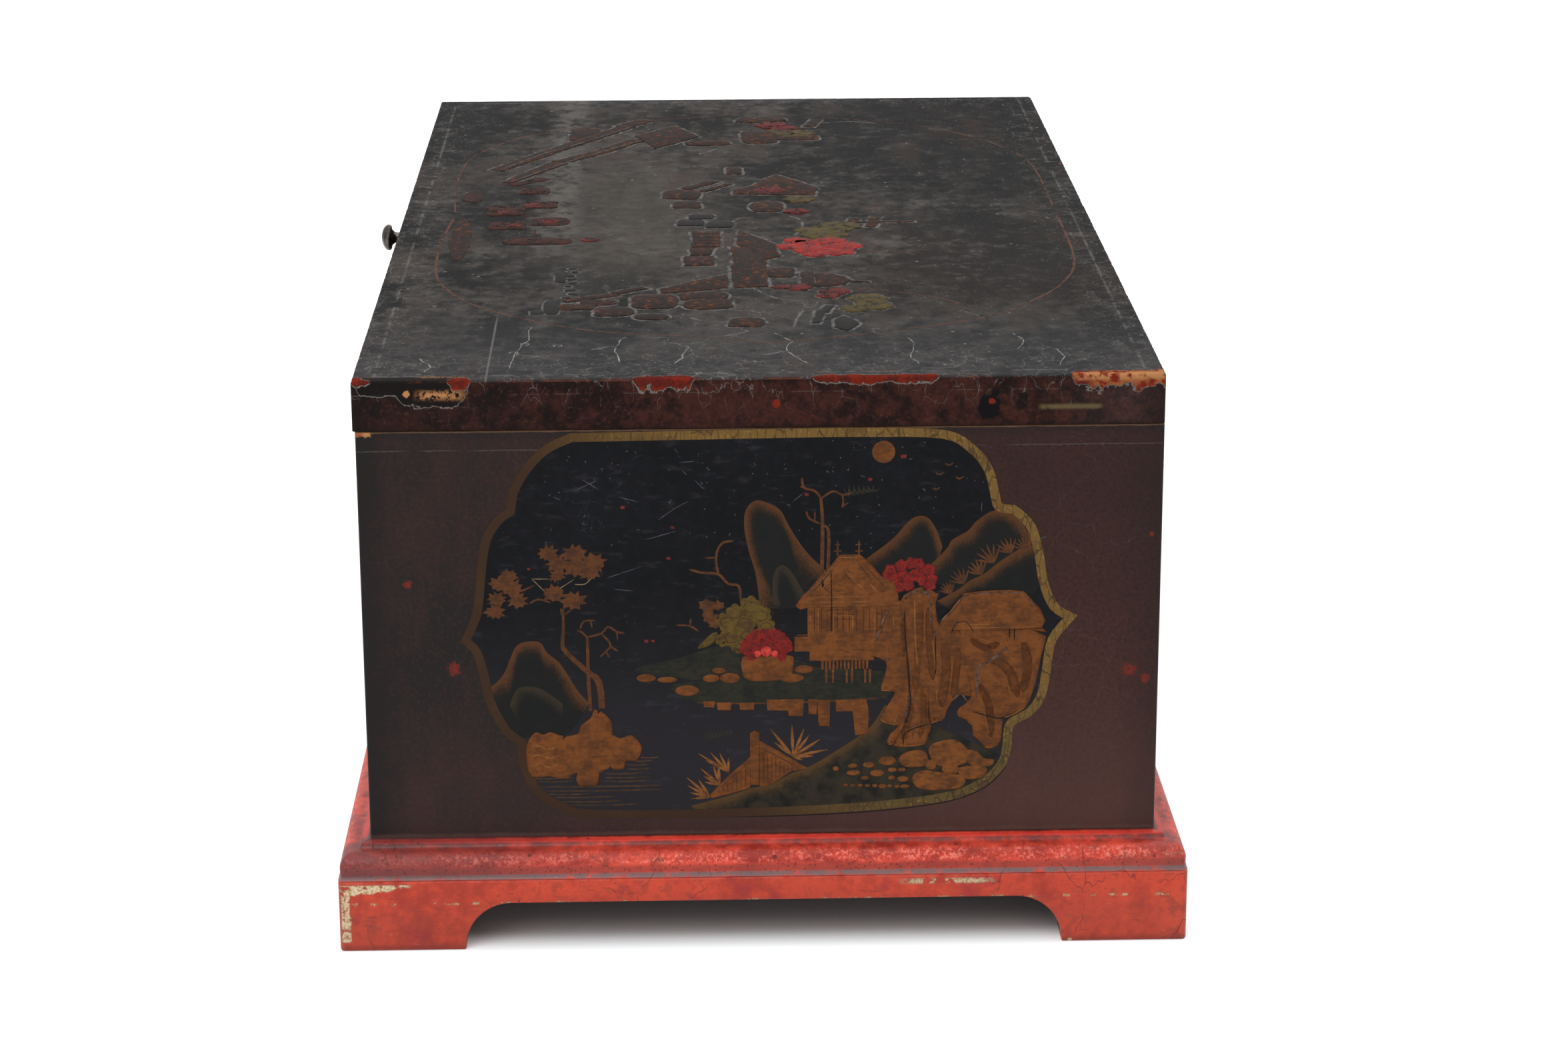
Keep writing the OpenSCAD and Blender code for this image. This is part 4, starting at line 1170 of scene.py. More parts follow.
def cartouche(wider=0.0):
    """The centre line of the frame: straight runs, round shoulders, and a lobe to a point each side.
    No two of its corners are alike."""
    stretches = (((-80, 82.5), (-90, 77.8), (-98, 70), (-103.5, 61), (-105, 55), (-105.5, 51.3)),
        ((-105.5, 51.3), (-110.3, 47.8), (-115, 41), (-117.5, 31), (-119.8, 11), (-121.5, 4.3),
        (-125.5, -4.5)), ((-125.5, -4.5), (-121, -9.5), (-118.2, -20), (-116.2, -30.6),
        (-111.4, -41.3), (-108, -46), (-103, -49.8)), ((-103, -49.8), (-102.8, -59), (-97, -71.5),
        (-87, -78.5), (-76, -81.8), (-38, -82.6), (10, -81.8)), ((10, -81.8), (45, -80),
        (75, -76.3), (89, -70.5), (97, -63), (99.5, -56), (100, -49)), ((100, -49), (101.5, -43.5),
        (109.5, -38.5), (114, -31), (116, -19), (118, -7), (125.5, 2.9)), ((125.5, 2.9),
        (118.5, 7.5), (114, 18), (111.8, 31), (109, 41), (105, 46.5), (101, 49.8)), ((101, 49.8),
        (95, 51), (93.2, 57), (90.5, 67), (84, 75.5), (72, 82.2), (40, 83.3), (8, 83.3),
        (-80, 82.5)))
    outline = []
    for stretch in stretches:
        outline += flowing(stretch)[:-1]
    return [(across + math.copysign(wider, across), up) for across, up in outline]


def framed_panel(face, wider=0.0):
    """The black ground of the panel, with its gold frame line and the line's dark shadow."""
    line = cartouche(wider)
    face.lay(painted([line], 0.06), "ground", 0, "panel_black")
    ribbon = painted([outset(line, 1.9), outset(line, -1.9)], 0.1)
    face.lay(ribbon, "frame_line", 0.06, "gold_band")
    shadow = [(-17, -84.3), (15, -83.9), (47, -82.3), (75, -78.7), (91, -72.4), (99.8, -63)]
    face.lay(drawn([shadow], 0.5), "frame_shadow", 0.02, "dark_line")


# What is painted on the panels: each motif is drawn where it stands on the near end


def hill(face, name, crest, foot, finish="hill_dust", height=0.07):
    face.lay(curtain(crest, foot), name, height, finish)


def left_mountain(face):
    hill(face, "mountain", [(-116.4, -25.2), (-112.9, -22.7), (-109.6, -18.4), (-107, -12),
        (-104.5, -7), (-100, -5.1), (-94.5, -5.7), (-92, -10), (-87, -14.5), (-83.5, -20),
        (-79.5, -27), (-75, -32.5)], [(-112, -38), (-107.5, -44.5), (-103.5, -47.5), (-95, -46),
        (-85, -46.5), (-79, -40)])
    hill(face, "mountain_shoulder", [(-108, -33), (-105, -26.3), (-100, -24.9), (-94.3, -26.3),
        (-86, -32.5)], [(-105, -40), (-100, -41), (-92, -40), (-86, -38)], "hill_dim", 0.082)


def tree_by_island(face):
    """Two bare trunks that rise from the island, and the foliage at the left."""
    trunks = [flowing([(-69.6, -34.9, 2.6), (-70, -27, 2.8), (-71.4, -22, 2.7), (-74.3, -19.5, 2.3),
        (-78.6, -15.6, 2.1), (-84.3, -9.5, 2.0), (-85.4, -7, 1.7), (-84.9, 0.9, 1.3),
        (-84.9, 9, 0.9)]), flowing([(-74.3, -36, 1.5), (-75, -20.6, 1.5), (-75.1, -3.8, 1.1)])]
    for twig, width in ((((-75.1, -3.8), (-77.5, -1.2), (-79.3, -0.6)), 0.9), (((-78, 0),
            (-76.4, 3.4), (-71.8, 3.7)), 0.8), (((-73.6, 3.5), (-73, 0.5)), 0.7), (((-75, -3.5),
            (-69.3, -2), (-66.4, 0.9), (-62.9, -1.3), (-59.6, -2)), 0.9), (((-62.9, -1.3),
            (-62.5, -5.2)), 0.7), (((-69.3, -2), (-66.1, -5.6), (-65.4, -7.7), (-62.5, -9.9)), 0.9),
            (((-65.4, -7.7), (-67.5, -9.9), (-70, -12.4)), 0.8), (((-67.5, -9.9), (-66.1, -12.7)),
            0.7), (((-85, 5), (-86, 9.3)), 0.8), (((-85, 6), (-81.4, 8.6)), 0.8), (((-98.6, 11.4),
            (-95, 13.2), (-90, 11.8)), 0.8), (((-103, 16.4), (-96.4, 19.3)), 0.8)):
        trunks.append(evenly(twig, width))
    face.lay(strokes(trunks), "trees", 0.08, "brown_gold")
    blots = []
    for seed, (across, up, radius) in enumerate(((-90.7, 33.2, 4.2), (-80, 32.6, 5.4),
            (-87, 28.6, 4.6), (-79.3, 27, 5.6), (-72, 28.8, 5), (-73.6, 24.3, 4), (-87, 23.6, 3.4),
            (-107, 23.5, 3.8), (-110.7, 20, 4.2), (-105.7, 18.2, 4.8), (-112, 13.6, 3.8),
            (-103.6, 12.9, 4.3), (-113.2, 7.9, 4.2), (-88.6, 15.7, 4.6), (-80.7, 12.5, 5.4))):
        blots.append(painted([ragged(across, up, radius, seed + 20)], PAINT + 0.004 * seed))
    face.lay(joined(blots), "foliage", 0.08, "brown_gold")
    lines = (((-97.5, 22.1), (-90, 22)), ((-97.5, 22.1), (-91.4, 15.7)), ((-80, 19.6),
        (-75.7, 19.6), (-72.6, 22.5)), ((-89.3, 15.7), (-80, 21.8)))
    face.lay(drawn(lines, 0.35), "foliage_scratches", 0.13, "cream")


def island(face):
    """Raised gilt rocks at the left, standing in rippled water."""
    body = [(-101, -49.9), (-97.5, -45.2), (-94.3, -46.3), (-91.4, -45.2), (-87.9, -46.5),
        (-85.5, -48.8), (-85.5, -65.2), (-92, -64.9), (-99.5, -64.9), (-101.5, -58)]
    peak = [(-86.5, -49), (-80, -46.3), (-78.5, -42.5), (-74.3, -39.1), (-72.9, -35.6),
        (-71, -37.5), (-70.7, -50), (-71.5, -67.7), (-75, -69.3), (-79.5, -69.3), (-81, -66.5),
        (-80.7, -63.4), (-86.5, -65.6)]
    side = [(-71.5, -37.5), (-66.4, -39.9), (-65.4, -43.4), (-65.4, -48), (-66, -60),
        (-69.3, -62.4), (-71.8, -62)]
    right = [(-66.5, -47.5), (-62.1, -48.4), (-57.9, -47), (-54.8, -49.5), (-53.2, -53.5),
        (-55.7, -58.4), (-60, -58.6), (-61, -62), (-66.5, -61)]
    rocks = raised([flowing(outline, True, 3) for outline in (body, peak, side, right)], 0.75, 1.1)
    face.lay(rocks, "island_rocks", 0.06, "gold_paint")
    ripples = [flowing([(-99.5, up), (-96, up + 1), (-92.5, up - 0.6), (-88, up + 0.6)],
        steps=3) for up in (-52, -56, -60)]
    face.lay(strokes([[(*p, 0.55) for p in line] for line in ripples]), "rock_lines", 0.82,
        "pale_gold")
    water = []
    for start, end, up in ((-54, -46, -57), (-57, -49, -58.5), (-60, -50.5, -60.2), (-60, -50, -62),
            (-69, -53, -64), (-69, -50, -65.8), (-100, -82, -65.8), (-97, -82, -67.2),
            (-70, -50, -67.4), (-96, -45, -69.6), (-94, -45, -71.5), (-93, -75, -73),
            (-92, -65, -74.4), (-88, -62, -76.4), (-84, -54, -78)):
        water.append(evenly(((start, up), ((start + end) / 2, up - 0.25), (end, up + 0.1)), 0.55))
    face.lay(strokes(water, 0.1), "water_lines", 0.07, "water_gold")


def thumb_hill(face):
    hill(face, "thumb_hill", [(-3.5, 9), (-4.1, 15), (-5.4, 24), (-8.2, 34), (-9.8, 43.6), (-9, 51),
        (-5, 54.8), (0, 53.7), (5, 50.7), (8.5, 44), (12, 38), (17, 31), (22.5, 25.6), (28, 20)],
        [(0.5, 8), (4, 8), (9, 8), (14, 9), (20, 12), (26, 14)])
    hill(face, "inner_hill", [(2.1, 10), (1.8, 20), (3.2, 25), (5.4, 26.8), (7.9, 25.7),
        (10.7, 22.1), (15.7, 13)], [(4, 9), (8, 9), (13, 10)], "hill_dim", 0.082)


def bare_tree(face):
    lines = [flowing([(22.1, 20, 1.6), (22.5, 42.9, 1.5), (21.8, 55.7, 1.2)]),
        flowing([(24.6, 22, 1.4), (25, 40.7, 1.3), (22.7, 43.6, 1.1)])]
    for twig, width in ((((21.8, 55.7), (19.3, 58.6), (15.7, 59.6), (14.3, 61.4), (14.1, 64.3)),
            1.0), (((15.7, 59.8), (13.2, 60.6)), 0.7), (((21.8, 55.2), (25.7, 58), (27.9, 58.2),
            (30.7, 56.8), (34.3, 57.5)), 0.9), (((30.7, 56.8), (31, 53.5), (30.5, 51.2)), 0.8),
            (((30.8, 52), (33.2, 53.5)), 0.6), (((21.4, 44.6), (17.1, 46.8), (15.7, 50)), 0.9),
            (((19.3, 45.7), (19.3, 50)), 0.7)):
        lines.append(evenly(twig, width))
    face.lay(strokes(lines), "bare_tree", 0.08, "brown_gold")
    grass = []
    for across in range(0, 12, 2):
        grass += leaves((33 + across, 56 + across * 0.2), ((31 + across, 60), (33.5 + across, 61),
            (36 + across, 59)), 0.5)
    face.lay(strokes(grass, 0.08), "far_grass", 0.06, "dim_olive")


def distant_hills(face):
    hill(face, "hill_2", [(38, 27), (41.6, 30), (47.3, 34.3), (52.3, 38.6), (58, 45.2), (62, 47.4),
        (66, 46.4), (69.4, 41.4), (72, 34)], [(44, 22), (55, 22), (66, 24), (70, 28)])
    hill(face, "hill_3", [(66.6, 25.7), (70.1, 29.3), (74, 33.5), (76, 37), (82.3, 40.7), (86, 45),
        (92, 49), (98, 49.4), (104, 45), (109, 36)], [(70, 18), (82, 14), (98, 14), (106, 20)],
        height=0.078)
    hill(face, "hill_4", [(70, 10.5), (78, 15), (83.7, 19.3), (89.4, 22.1), (96, 27.5),
        (104.4, 32.9), (110, 34.3)], [(76, 6), (92, 8), (106, 10), (112, 16)], height=0.086)
    fans = []
    for across, up, size in ((74.8, 15, 4), (80.1, 19.3, 5.5), (87.3, 23.2, 5.5), (92.3, 28.2, 7),
            (99.4, 32.4, 5.5), (106, 33.6, 4.5)):
        tips = [(across + size * math.cos(math.radians(turn)),
            up + size * math.sin(math.radians(turn))) for turn in range(60, 200, 24)]
        fans += leaves((across + 1, up - 1.5), tips, 1.0)
    face.lay(strokes(fans, 0.12), "ferns_on_hill", 0.12, "brown_gold")


def moon_and_birds(face):
    face.lay(painted([disc(47.5, 75, 4.7, steps=28)], 0.05), "moon", 0.06, "gold_paint")
    birds = [evenly(((across - 1.6, up + 0.8), (across, up), (across + 1.8, up + 1)),
        0.6) for across, up in ((70.5, 65), (78.7, 63.2), (69, 58.6), (74.4, 69))]
    face.lay(strokes(birds), "birds", 0.06, "brown_gold")


def blossom_cluster(face):
    """A thicket of red rings of blossom."""
    places = ((50.5, 24), (55, 26), (59, 27), (63, 23.5), (66.5, 24), (52, 20.5), (56, 21.5),
        (60, 21.5), (64, 19.5), (67.5, 20), (54, 16.8), (58, 17.5), (66.8, 17.3), (62, 26.6),
        (49.6, 21.5))
    face.lay(raised([lobed(a, u, 2.7, 5, a) for a, u in places], 0.3, 0.8), "red_blossom", 0.11,
        "red_paint")
    rings = [[(*p, 0.55) for p in arc((a, u), (1.55, 1.5), 0, 360, 12)] for a, u in places]
    face.lay(strokes(rings, 0.4), "blossom_rings", 0.4, "bright_red")
    hearts = raised([disc(a, u, 0.65, steps=8) for a, u in places], 0.2, 0.25)
    face.lay(hearts, "blossom_hearts", 0.4, "dark_red")


def flowers_by_shore(face):
    """An olive shrub, brown leaves, a branch, and a red peony on its rock."""
    lines = [evenly(line, width) for line, width in ((((-11.4, 11), (-12.1, 17.9), (-16.4, 18.9),
        (-19.6, 22.5), (-22.1, 23.6), (-27.1, 23.9), (-32.5, 25.4)), 1.1), (((-20.4, 23),
        (-21.4, 27.9), (-21, 32.9), (-18.6, 36.8), (-14, 37.5)), 1.0), (((-21.8, 30.4),
        (-26, 30.4)), 0.7), (((-38.2, 1.2), (-32.9, 0.9), (-29, -1.5)), 0.8), (((-32.5, 1),
        (-32.1, 4.2)), 0.8))]
    face.lay(strokes(lines), "shore_branch", 0.07, "brown_gold")
    brown = [painted([ragged(a, u, r, i, 0.75, 6)], 0.04 + 0.01 * i) for i,
        (a, u, r) in enumerate(((-25.5, 10, 3.6), (-21, 9.6, 3), (-25, 7, 2.6), (-24, 4.3, 3.6),
        (-22, 1.5, 2.6)))]
    face.lay(joined(brown), "brown_leaves", 0.07, "brown_gold")
    olive = ((-7.5, 9, 4.6), (-13.5, 6, 4.2), (-17.2, 2.4, 4.4), (-10, 1.5, 4.8), (-3, 5, 4.4),
        (-1, 0, 4), (-15.5, -4.4, 4.6), (-9, -4, 4.4), (-19, -5.5, 3), (-12.6, -8.4, 3))
    face.lay(raised([lobed(a, u, r * 1.02, 6, a) for a, u, r in olive], 0.45, 1.3), "olive_shrub",
        0.09, "olive_paint")
    veins = []
    for a, u, r in olive:
        veins.append(evenly(arc((a, u), (r * 0.6, r * 0.5), a * 40, a * 40 + 220, 6), 0.4))
    face.lay(strokes(veins, 0.5), "shrub_lines", 0.5, "brown_line")
    leaf = [(-21.4, -2), (-24.5, -3.4), (-29.6, -9), (-25, -8), (-21.6, -5)]
    face.lay(raised([flowing(leaf, True)], 0.3, 0.9), "shore_leaf", 0.1, "olive_paint")
    rock = [(-11, -13.8), (-8, -12.6), (8.4, -12.6), (10.4, -15), (9.6, -21), (6, -23.4),
        (-8, -23.4), (-11.2, -19)]
    face.lay(raised([flowing(rock, True)], 0.5, 1.4), "peony_rock", 0.09, "gold_paint")
    petals = []
    for turn in range(170, -11, -26):
        angle = math.radians(turn)
        petals.append(lobed(-1 + 8.4 * math.cos(angle), -10.4 + 7.2 * math.sin(angle), 3.3, 5,
            angle))
    for turn in (160, 125, 90, 55, 20):
        angle = math.radians(turn)
        petals.append(lobed(-1 + 4.6 * math.cos(angle), -10.6 + 4.4 * math.sin(angle), 2.9, 5,
            angle))
    petals += [lobed(-7, -12.4, 2.6, 5), lobed(5.4, -12.6, 2.6, 5)]
    face.lay(raised(petals, 0.55, 1.0), "peony_petals", 0.12, "red_paint")
    rims = [evenly([(p[0] * 0.86 + c[0] * 0.14, p[1] * 0.86 + c[1] * 0.14) for p in petal[::3]],
        0.5) for petal in petals for c in [(sum(p[0] for p in petal) / len(petal),
        sum(p[1] for p in petal) / len(petal))]]
    face.lay(strokes(rims, 0.5), "peony_lines", 0.58, "bright_red")
    heart = [disc(-1, -10.6, 2.4), disc(-4.6, -11.6, 1.5), disc(2.6, -11.6, 1.5)]
    face.lay(raised(heart, 0.35, 0.7), "peony_heart", 0.45, "pale_red")


def pavilion(face):
    """A hall on stilts over the water: hipped roof, two ridge finials, slatted walls and two decks."""
    walls = [(16.2, 9), (52, 9), (52, -4), (16.2, -4)]
    decks = [[(10.7, -4.4), (16.4, -4.4), (16.4, -2.6), (50, -2.6), (50, -11), (10.7, -11)],
        [(17, -10.6), (44, -10.6), (44, -15.2), (17, -15.2)]]
    face.lay(raised([walls], 0.35, 0.5), "hall_walls", 0.06, "gold_paint")
    face.lay(raised(decks, 0.5, 0.6), "hall_decks", 0.06, "gold_paint")
    posts = [[(a, -19, 1.1), (a, -25, 0.9)] for a in (24, 26.8, 32.5, 34.7, 40.2, 42.2)]
    fringe = [[(22.4 + 1.55 * i, -15, 1.0), (22.4 + 1.55 * i, -18.9, 0.9)] for i in range(13)]
    face.lay(strokes(posts + fringe, 0.35), "hall_stilts", 0.07, "gold_paint")
    roof = [(11.1, 8.9), (13.2, 7.3), (16.4, 8.2), (54, 8.6), (54, 13), (52, 19.4), (47, 21.4),
        (41.5, 28), (37.9, 31.1), (29.6, 31.1), (26.4, 27.1), (21.8, 22.1), (16.4, 15.7),
        (13.6, 12.9)]
    face.lay(raised([roof], 0.8, 1.0), "hall_roof", 0.06, "gold_paint")
    bright = [((16, 9.1), (52, 9.1)), ((14.6, 12.9), (50, 12.9)), ((21, 15.2), (29.8, 25.8)),
        ((30.5, 26), (41.4, 14)), ((26.4, 14.9), (34.3, 15.1)), ((29.5, 30), (38, 30)), ((41.6, 19),
        (46, 14))]
    dark = [((17.5, 14), (28, 26.5)), ((39.4, 27), (50, 15)), ((31, 24), (36, 17.5)), ((22, 18),
        (27, 13.6)), ((36, 28.5), (44, 19))]
    bright += [((21, 16.6), (29, 26.6)), ((17, 10.6), (50, 10.9))]
    face.lay(drawn(bright, 0.5), "roof_lines", 0.84, "pale_gold")
    thatch = [((18 + 3 * i, 13.6), (24.5 + 1.9 * i, 24)) for i in range(9)]
    face.lay(drawn(thatch, 1.8, 0.03), "roof_shade", 0.8, "gold_shade")
    # Painted highlights along the roof's upper edges, where the raised work meets the light.
    edges = [((12.6, 10.4), (20, 19), (27.2, 27.4), (30.4, 30.2)), ((31, 30.4), (38, 30.4)),
        ((38.6, 29.6), (46, 21.6), (52, 18.6))]
    face.lay(drawn(edges, 0.8, 0.1), "roof_edge_highlights", 0.7, "edge_highlight")
    face.lay(drawn(dark, 0.7), "roof_creases", 0.82, "brown_line")
    slats = [evenly(((a, 8), (a, -3.4)), 0.4) for a in (19, 22, 24.4, 28.6, 31, 33.5, 36.4, 39.5,
        42, 45, 47)]
    beams = [evenly(line, 0.4) for line in (((17, -3.6), (50, -3.4)), ((11.6, -6.6), (50, -6.4)),
        ((18, -12.6), (44, -12.6)), ((24.4, 3), (36.4, 3)), ((24.4, 7.2), (36.4, 7.2)))]
    face.lay(strokes(slats + beams), "wall_lines", 0.44, "brown_line")
    light = [((17.4, 8), (17.4, -3.4)), ((20.6, 8), (20.6, -3.4)), ((27, 8), (27, -3)), ((35, 8),
        (35, -3)), ((44, 8), (44, -3.4)), ((24.4, 4.6), (36.4, 4.6)), ((12, -3.6), (49, -3.4)),
        ((12, -7.8), (49, -7.8)), ((18, -11.2), (44, -11.2)), ((18, -14.2), (44, -14.2))]
    face.lay(drawn(light, 0.55, 0.15), "wall_lights", 0.5, "pale_gold")
    face.lay(strokes([[(26, 23.5, 0.5), (26.2, 10, 0.6), (26, -2, 0.4)], [(22.3, 20.5, 0.5),
        (22.6, 18, 1.2), (22.4, 17, 0.3)]]), "hall_crack", 0.85, "dark_line")
    finials = []
    for a in (28.7, 37.5):
        finials += [[(a, 30.5, 0.9), (a, 37, 0.5)], [(a - 1.6, 32.6, 0.6), (a + 1.6, 32.6, 0.6)],
            [(a - 1, 35.4, 0.5), (a + 1, 35.4, 0.5)]]
    face.lay(strokes(finials, 0.3), "roof_finials", 0.07, "brown_gold")


def cliff(face):
    """The raised gilt crag with an arch under it, and a second roof on its shoulder."""
    roof = [(70.9, 0.7), (75.1, 5.7), (78.7, 10), (81.2, 13.6), (88, 14.6), (99.4, 15),
        (105.9, 14.3), (109.4, 10.4), (113, 6.4), (115.1, 1.4), (113.7, -1.8), (100, -2.6),
        (71.5, -2.6)]
    face.lay(raised([roof], 0.95, 1.1), "far_roof", 0.06, "gold_paint")
    crag = ([(49.6, 8), (55.1, 10.7), (56.5, -6), (58.6, -20), (59, -34), (57.3, -43), (52, -52.8),
        (49.4, -51.6), (50.9, -47.7), (54.4, -44.1), (48.7, -43.1), (46.2, -41.3), (48, -37.7),
        (52.3, -30.6), (51.6, -29.1), (47.3, -28.8), (46.9, -26.3), (48.7, -20.6), (48.8, -15.6),
        (45, -13.4), (46.5, -4)], [(54.6, 10), (58, 14.3), (62.3, 16.4), (64.8, 14.8), (65.2, 2),
        (65.6, -12), (67.5, -26), (66.5, -38), (68, -44.9), (66.6, -49.1), (65.5, -52.7),
        (59.4, -53.8), (52.3, -53.2), (56.4, -44), (58.2, -34), (57.8, -20), (55.4, -6)],
        [(64, 14.6), (69.4, 13.9), (70.5, 12.9), (69.4, 9.3), (69.8, 4.3), (71.5, -0.5), (80, -3),
        (82, -14), (84, -24), (84.4, -31.5), (80.1, -30.9), (76.6, -34.1), (74.4, -37.7),
        (73.4, -41.3), (69.4, -43.1), (67.3, -42), (66, -26), (64.4, -12)], [(80, -2), (100, -2.4),
        (113.9, -2), (115.5, -6), (113.7, -13.4), (112.3, -22), (110.1, -30.6), (107.3, -37),
        (102.3, -40.2), (98, -41.3), (97.3, -51.3), (94.4, -54.9), (90.9, -54.9), (88.7, -52),
        (85.5, -49.1), (85.1, -44.9), (82.3, -42), (79.4, -40.6), (78.7, -38.4), (80.1, -36.3),
        (84.4, -32), (82.6, -22), (79, -10)])
    face.lay(raised([flowing(outline, True, 2) for outline in crag], 0.95, 2.0), "crag", 0.06,
        "gold_paint")
    foot = [(42, -2.5), (50, -2.5), (51, -12), (49, -15.4), (43, -13.2)]
    face.lay(raised([foot], 0.6, 0.8), "crag_step", 0.07, "gold_paint")
    folds = [evenly(line, width) for line, width in ((((52, 6), (50, -4), (48, -12)), 3.0),
        (((56.4, 4), (55.4, -10), (52, -24)), 3.4), (((62.6, 10), (62.2, -10), (61, -30)), 3.6),
        (((66.4, 8), (67, -8), (68.4, -24)), 3.2), (((60, -34), (58, -44), (56, -51)), 3.0),
        (((64, -28), (64.6, -40), (63, -50)), 3.0), (((73, -8), (74, -20), (72, -36)), 3.8),
        (((79, -10), (78, -22), (77, -32)), 3.0), (((84, -6), (90, -10), (96, -8)), 3.0),
        (((92, -14), (100, -20), (104, -32)), 4.2), (((106, -8), (108, -18), (106, -30)), 3.8),
        (((88, -26), (92, -36), (93, -50)), 3.4), (((74, 2), (80, 8), (84, 12)), 3.0), (((90, 3),
        (96, 7), (100, 12)), 3.4), (((104, 2), (108, 6), (106, 11)), 2.6))]
    face.lay(strokes(folds, 0.02), "crag_folds", 0.955, "gold_shade")
    # Painted highlights along the upper edges of the crag and the far roof.
    edge_highlights = [evenly(line, width) for line, width in ((((50, 8), (46.5, 0), (43.3, -12)), 1.1),
        (((54.4, -2.7), (52, -9), (49.8, -15.6)), 1.2), (((67.6, 12), (67.2, 2), (69.6, -5)), 1.0),
        (((59.4, -25.6), (58.3, -33), (57.3, -40.6)), 0.9), (((99.4, -9.9), (95, -13.6), (90, -17),
        (87.3, -19.1), (86.6, -32)), 1.3), (((61, -44), (60, -50)), 0.8), (((55.4, 10.4),
        (58.6, 13.6), (62, 15.2), (67.6, 13.2)), 1.2), (((83, -34), (80, -30), (77, -33)), 0.8),
        (((71.4, 1.6), (76, 6.6), (80.6, 12.2), (84, 13.6)), 1.2), (((84, 13.8), (96, 14.2),
        (105.4, 13.4)), 1.1), (((106, 13), (109.4, 9), (113, 4)), 0.8))]
    face.lay(strokes(edge_highlights, 0.06), "crag_edge_highlights", 0.975, "edge_highlight")
    dark = (((56.4, 7), (56.8, -5), (57.8, -15), (58.6, -26), (59, -36), (55.4, -47)), ((69.4, -4),
        (69.4, -14), (69.7, -23.6)), ((68, -43.1), (57.3, -47), (56.2, -53.4)), ((85.1, -38.1),
        (95.1, -41.3), (99.4, -40.9)), ((76, -3.4), (77.6, 0.4), (82, 1.6), (85, -3)), ((100, -1),
        (100.2, -6)), ((102, -1), (102.2, -7)))
    face.lay(drawn(dark, 0.5), "crag_cracks", 0.98, "dark_line")
    light = (((74, 4), (80, 12)), ((76, -1.2), (113, -1.2)), ((84, 11), (90, 2)), ((94, 2),
        (98, 8)), ((74, 0.4), (96, 0.2)), ((46.8, -28.2), (51.6, -28.6)), ((46.6, -41), (49, -42.6),
        (54, -43.6)), ((52.8, -52.4), (59, -53), (65, -52.2)), ((67.4, -43), (72.6, -41.6)),
        ((84.6, -44), (82.6, -41.4)), ((90.4, -54), (94, -54)), ((98.4, -41), (102, -39.6),
        (107, -36.4)), ((51.5, 6), (52.5, -6)), ((60.5, 12), (61, -6), (62, -18)), ((68, -6),
        (69.6, -20), (70, -34)), ((88, -6), (94, -8)), ((99, -22), (101, -32)), ((90, -38),
        (92, -48)), ((54, -38), (52, -44)))
    face.lay(drawn(light, 0.5), "crag_lights", 0.98, "pale_gold")
    wedge = [(109.5, -2.4), (115.6, -3.6), (115.8, -5.4)]
    face.lay(painted([wedge], 0.05), "roof_shadow", 1.0, "dark_line")


def shore(face):
    """The low tongue of land under the hall, its stones, and the drips of gold along its edge."""
    tongue = [(-55.7, -18.8), (-52, -16.3), (-38, -13.4), (-29.6, -10.6), (-20, -8), (-8, -9),
        (10, -13), (20, -18), (47, -20), (47, -24), (-20, -24), (-38, -21.5), (-48, -20.4)]
    face.lay(painted([flowing(tongue, True, 2)], 0.04), "tongue", 0.06, "land")
    band = [(-40, -24.5), (-20, -23.2), (10, -22.6), (49, -23.4), (49, -32), (30, -33.4),
        (-10, -33.8), (-29, -33), (-38, -29.5)]
    face.lay(painted([flowing(band, True, 2)], 0.05), "shore_band", 0.07, "land")
    stones = []
    for bounds in ((-27.5, -20.4, -24, -20.6), (-23.6, -17.9, -20.2, -17.6),
            (-20.4, -11.8, -24.5, -20), (4.6, 14.6, -24.5, -20.6), (10.7, 18.6, -20.6, -17),
            (-55, -47, -23.6, -20), (-46.4, -38, -24, -21.4), (-39, -29, -29.9, -25.2)):
        stones.append(oval(bounds, 350, 14))
    face.lay(raised(stones, 0.35, 0.9), "shore_stones", 0.1, "gold_paint")
    drips = [[(-27.5, -32.4), (-22.5, -32.4), (-22.8, -35.2), (-27, -35)], [(-21.8, -33),
        (-15.4, -33), (-16, -36.6), (-21.4, -36.4)], [(-12.5, -33.2), (-6, -33.2), (-6.2, -36.6),
        (-12, -36.4)], [(-1, -32), (14.6, -32), (14.4, -39.5), (8.2, -39.3), (8, -37),
        (-0.7, -36.8)], [(16.4, -32), (20.4, -32), (20, -38.8), (16.6, -38.6)], [(20.2, -32.4),
        (25.7, -32.4), (25.4, -44.1), (20.8, -44)], [(27.9, -32.5), (40.7, -32.5), (41.8, -37),
        (41.6, -48), (36, -48.4), (35, -37.6), (28, -37.7)]]
    face.lay(raised(drips, 0.3, 0.5), "shore_drips", 0.1, "gold_paint")
    face.lay(drawn([((-30, -33), (-10, -33.6), (20, -33.2), (46, -32))], 0.6), "shore_line", 0.12,
        "brown_gold")


